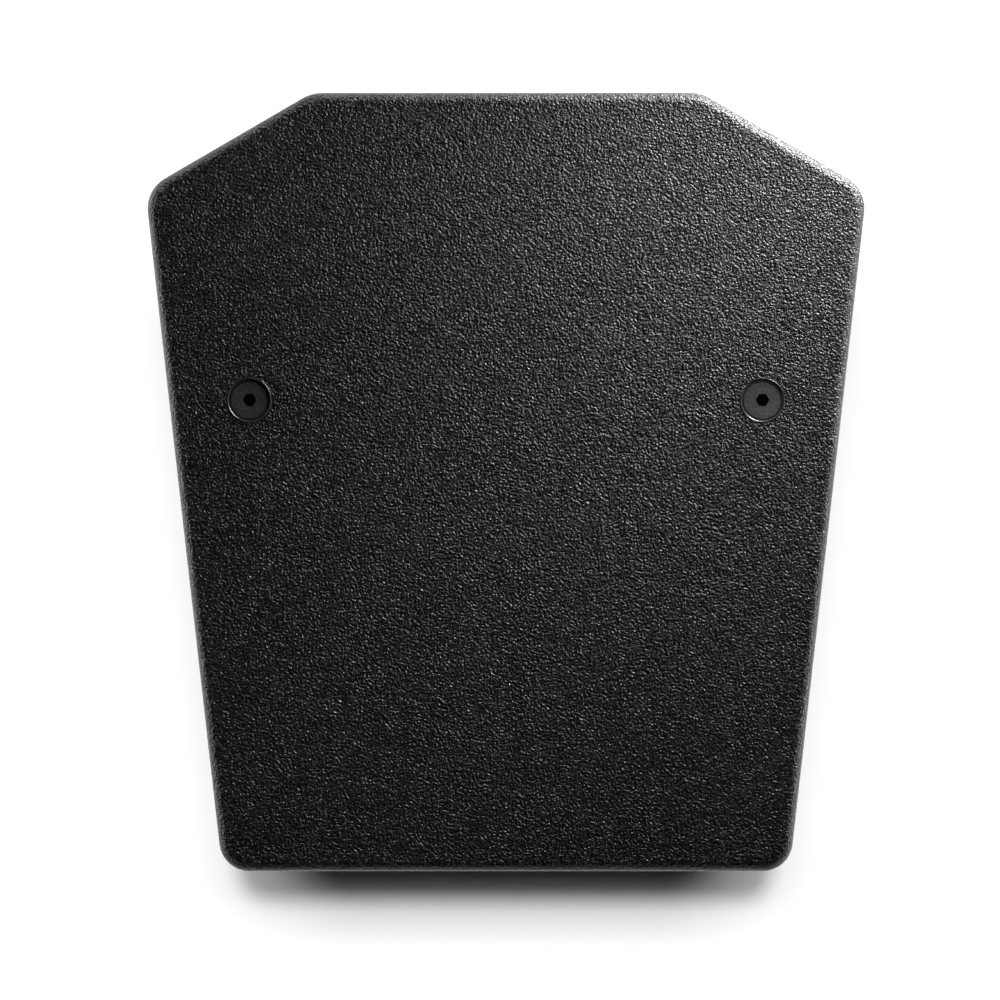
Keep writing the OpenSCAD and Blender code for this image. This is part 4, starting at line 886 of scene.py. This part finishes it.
def tube(path, radius, sides):
    """Closed tube along a path, with a frame carried along so that it doesn't twist."""
    rings = []
    turns = [2 * math.pi * k / sides for k in range(sides)]
    across = (path[1] - path[0]).orthogonal().normalized()
    for i, p in enumerate(path):
        ahead = (path[min(i + 1, len(path) - 1)] - path[max(i - 1, 0)]).normalized()
        across = (across - ahead * across.dot(ahead)).normalized()
        other = ahead.cross(across)
        rings.append([p + radius * (math.cos(turn) * across + math.sin(turn) * other) for turn in turns])
    points, faces = rings_to_mesh(rings)
    last = (len(rings) - 1) * sides
    faces += [tuple(reversed(range(sides))), tuple(last + k for k in range(sides))]
    return points, faces


TINSEL_X = 9 * MM
TINSEL_RADIUS = 1 * MM
TINSEL_SIDES = 10
TINSEL_STEPS = 8                # between two points of the route
TINSEL_ROUTE = [(90, -65), (101, -57), (102, -48), (90, -42), (74, -26.2), (62, -29.3)]  # mm up, forward


def make_tinsel_leads():
    """Two braided leads from the terminals on the basket to the cone, with slack for its travel."""
    matrix = woofer_place()
    for side, name in ((1, "right"), (-1, "left")):
        route = [matrix @ Vector((side * TINSEL_X, up * MM, out * MM)) for up, out in TINSEL_ROUTE]
        path = smooth_path(route, TINSEL_STEPS)
        lead = new_piece(f"tinsel_lead_{name}", *tube(path, TINSEL_RADIUS, TINSEL_SIDES))
        dress(lead, COPPER)
        soften(lead, weld=False)
        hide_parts("tinsel_leads")
        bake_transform(lead)


make_tinsel_leads()

# ---- Stage: white floor, lamps and surroundings ----

FLOOR_SIZE = 40.0
PAPER_GREY = 0.86
PAPER_LIT = 0.8          # out to here the floor shows the lamps' light and the shadow,
PAPER_WHITE = 1.6        # and from here on it is plain white


def seen_directly(tree):
    """1 for a ray from the camera, or mirrored or passed on towards it, and 0 for the rest."""
    path = put(tree, "LightPath").outputs
    seen = math_node(tree, "ADD", path["Is Camera Ray"], path["Is Glossy Ray"])
    return math_node(tree, "ADD", seen, path["Is Transmission Ray"], clamp=True)


def paper_material():
    """White paper, which turns plain white away from the object for what is seen directly."""
    material = bpy.data.materials.new("floor_paper")
    material.use_nodes = True
    tree = material.node_tree
    shader = tree.nodes["Principled BSDF"]
    shader.inputs["Base Color"].default_value = (PAPER_GREY, PAPER_GREY, PAPER_GREY, 1)
    shader.inputs["Roughness"].default_value = 0.9
    shader.inputs["Specular IOR Level"].default_value = 0.0
    place = put(tree, "TexCoord").outputs["Object"]
    away = put(tree, "VectorMath", {0: place}, operation="LENGTH").outputs["Value"]
    limits = {"Value": away, "From Min": PAPER_LIT, "From Max": PAPER_WHITE}
    white = put(tree, "MapRange", limits, interpolation_type="SMOOTHSTEP").outputs["Result"]
    share = math_node(tree, "MULTIPLY", white, seen_directly(tree))
    glow = put(tree, "Emission", {"Color": (1, 1, 1, 1), "Strength": 1.0}).outputs["Emission"]
    mixed = put(tree, "MixShader", {0: share, 1: shader.outputs["BSDF"], 2: glow}).outputs["Shader"]
    tree.links.new(mixed, tree.nodes["Material Output"].inputs["Surface"])
    return material


def add_floor():
    """One large plane at z = 0, which takes the object's shadow."""
    half = FLOOR_SIZE / 2
    corners = [Vector((x, y, 0)) for x, y in ((-half, -half), (half, -half), (half, half), (-half, half))]
    floor = new_piece("floor", corners, [(0, 1, 2, 3)])
    floor.data.materials.append(paper_material())
    return floor


def add_lamp(name, place, target, watts, linked_to, size, shape="RECTANGLE", spread=180):
    """An area lamp of size (width, height) at a place, turned to a target."""
    data = bpy.data.lights.new(name, "AREA")
    data.energy = watts
    data.shape = shape
    data.size, data.size_y = size
    data.spread = math.radians(spread)
    lamp = bpy.data.objects.new(name, data)
    bpy.context.scene.collection.objects.link(lamp)
    lamp.location = place
    lamp.rotation_euler = (Vector(target) - Vector(place)).to_track_quat("-Z", "Y").to_euler()
    lamp.light_linking.receiver_collection = linked_to
    lamp.visible_camera = False
    return lamp


def linking(name, objects, state):
    """The objects that a lamp lights (INCLUDE), or the ones that it leaves out (EXCLUDE)."""
    group = bpy.data.collections.new(name)
    for linked in objects:
        group.objects.link(linked)
    for member in group.collection_objects:
        member.light_linking.link_state = state
    return group


SHADOW_LAMP_Z = 5.2


def add_floor_lamps(floor):
    """Two round lamps high in front of the object: one for the shadow's core, one for its soft border."""
    only_floor = linking("floor_only", [floor], "INCLUDE")
    for name, y, watts, size in (("floor_sharp", -0.256, 140, (0.13, 0.13)),
                                 ("floor_soft", -0.387, 250, (1.1, 0.52))):
        add_lamp(name, (0, y, SHADOW_LAMP_Z), (0, y, 0), watts, only_floor, size, shape="ELLIPSE")


def add_object_lamps(floor):
    """Raking light over the top from its front left, a rim from each side, and front and back fill."""
    rings = [f"rigging_{kind}_top_{side}" for kind in ("cup", "shade_ring") for side in ("left", "right")]
    top_parts = [bpy.data.objects[name] for name in rings]
    top_parts += [frame["nodes"]["top_panel"], frame["nodes"]["rigging_screws"]]
    not_floor = linking("all_but_floor", [floor], "EXCLUDE")
    only_top = linking("top_only", top_parts, "INCLUDE")
    not_top = linking("all_but_floor_and_top", [floor] + top_parts, "EXCLUDE")
    z, fill_z = high.z, 0.34
    top, front_edge, centre = (0, 0, z), (-0.139, -0.17, z), (0, 0, fill_z)
    add_lamp("key", (-0.29, -0.345, z + 0.068), top, 5.3, only_top, (0.2, 0.26))
    add_lamp("edge", (-0.29, -0.42, z), front_edge, 0.32, only_top, (0.17, 0.14), spread=36)
    add_lamp("rim_left", (0.7, -0.12, z - 0.13), top, 4.6, not_floor, (0.8, 0.36))
    add_lamp("rim_right", (-0.7, 0.08, z - 0.16), top, 4, not_floor, (0.8, 0.36))
    add_lamp("front", (0.5, -1.9, fill_z), centre, 22, not_floor, (1.3, 0.48))
    add_lamp("back", (-0.8, 1.9, fill_z), centre, 22, not_top, (1.3, 0.48))


AMBIENT = 0.01
HORIZON = [(0.08, 1.0), (0.14, 0.004)]      # brightness against how far a ray points upwards


def add_world():
    """White towards the horizon for what is seen or mirrored, and a dim even light for the rest."""
    world = bpy.data.worlds.new("studio")
    world.use_nodes = True
    bpy.context.scene.world = world
    tree = world.node_tree
    background = tree.nodes["Background"]
    up = put(tree, "SeparateXYZ", {0: put(tree, "TexCoord").outputs["Generated"]}).outputs["Z"]
    wall = ramp(tree, up, HORIZON)
    strength = put(tree, "Mix", {"Factor": seen_directly(tree), "A": AMBIENT, "B": wall})
    background.inputs["Color"].default_value = (1, 1, 1, 1)
    tree.links.new(strength.outputs[0], background.inputs["Strength"])


bpy.context.scene.view_settings.view_transform = "Standard"
studio_floor = add_floor()
add_floor_lamps(studio_floor)
add_object_lamps(studio_floor)
add_world()
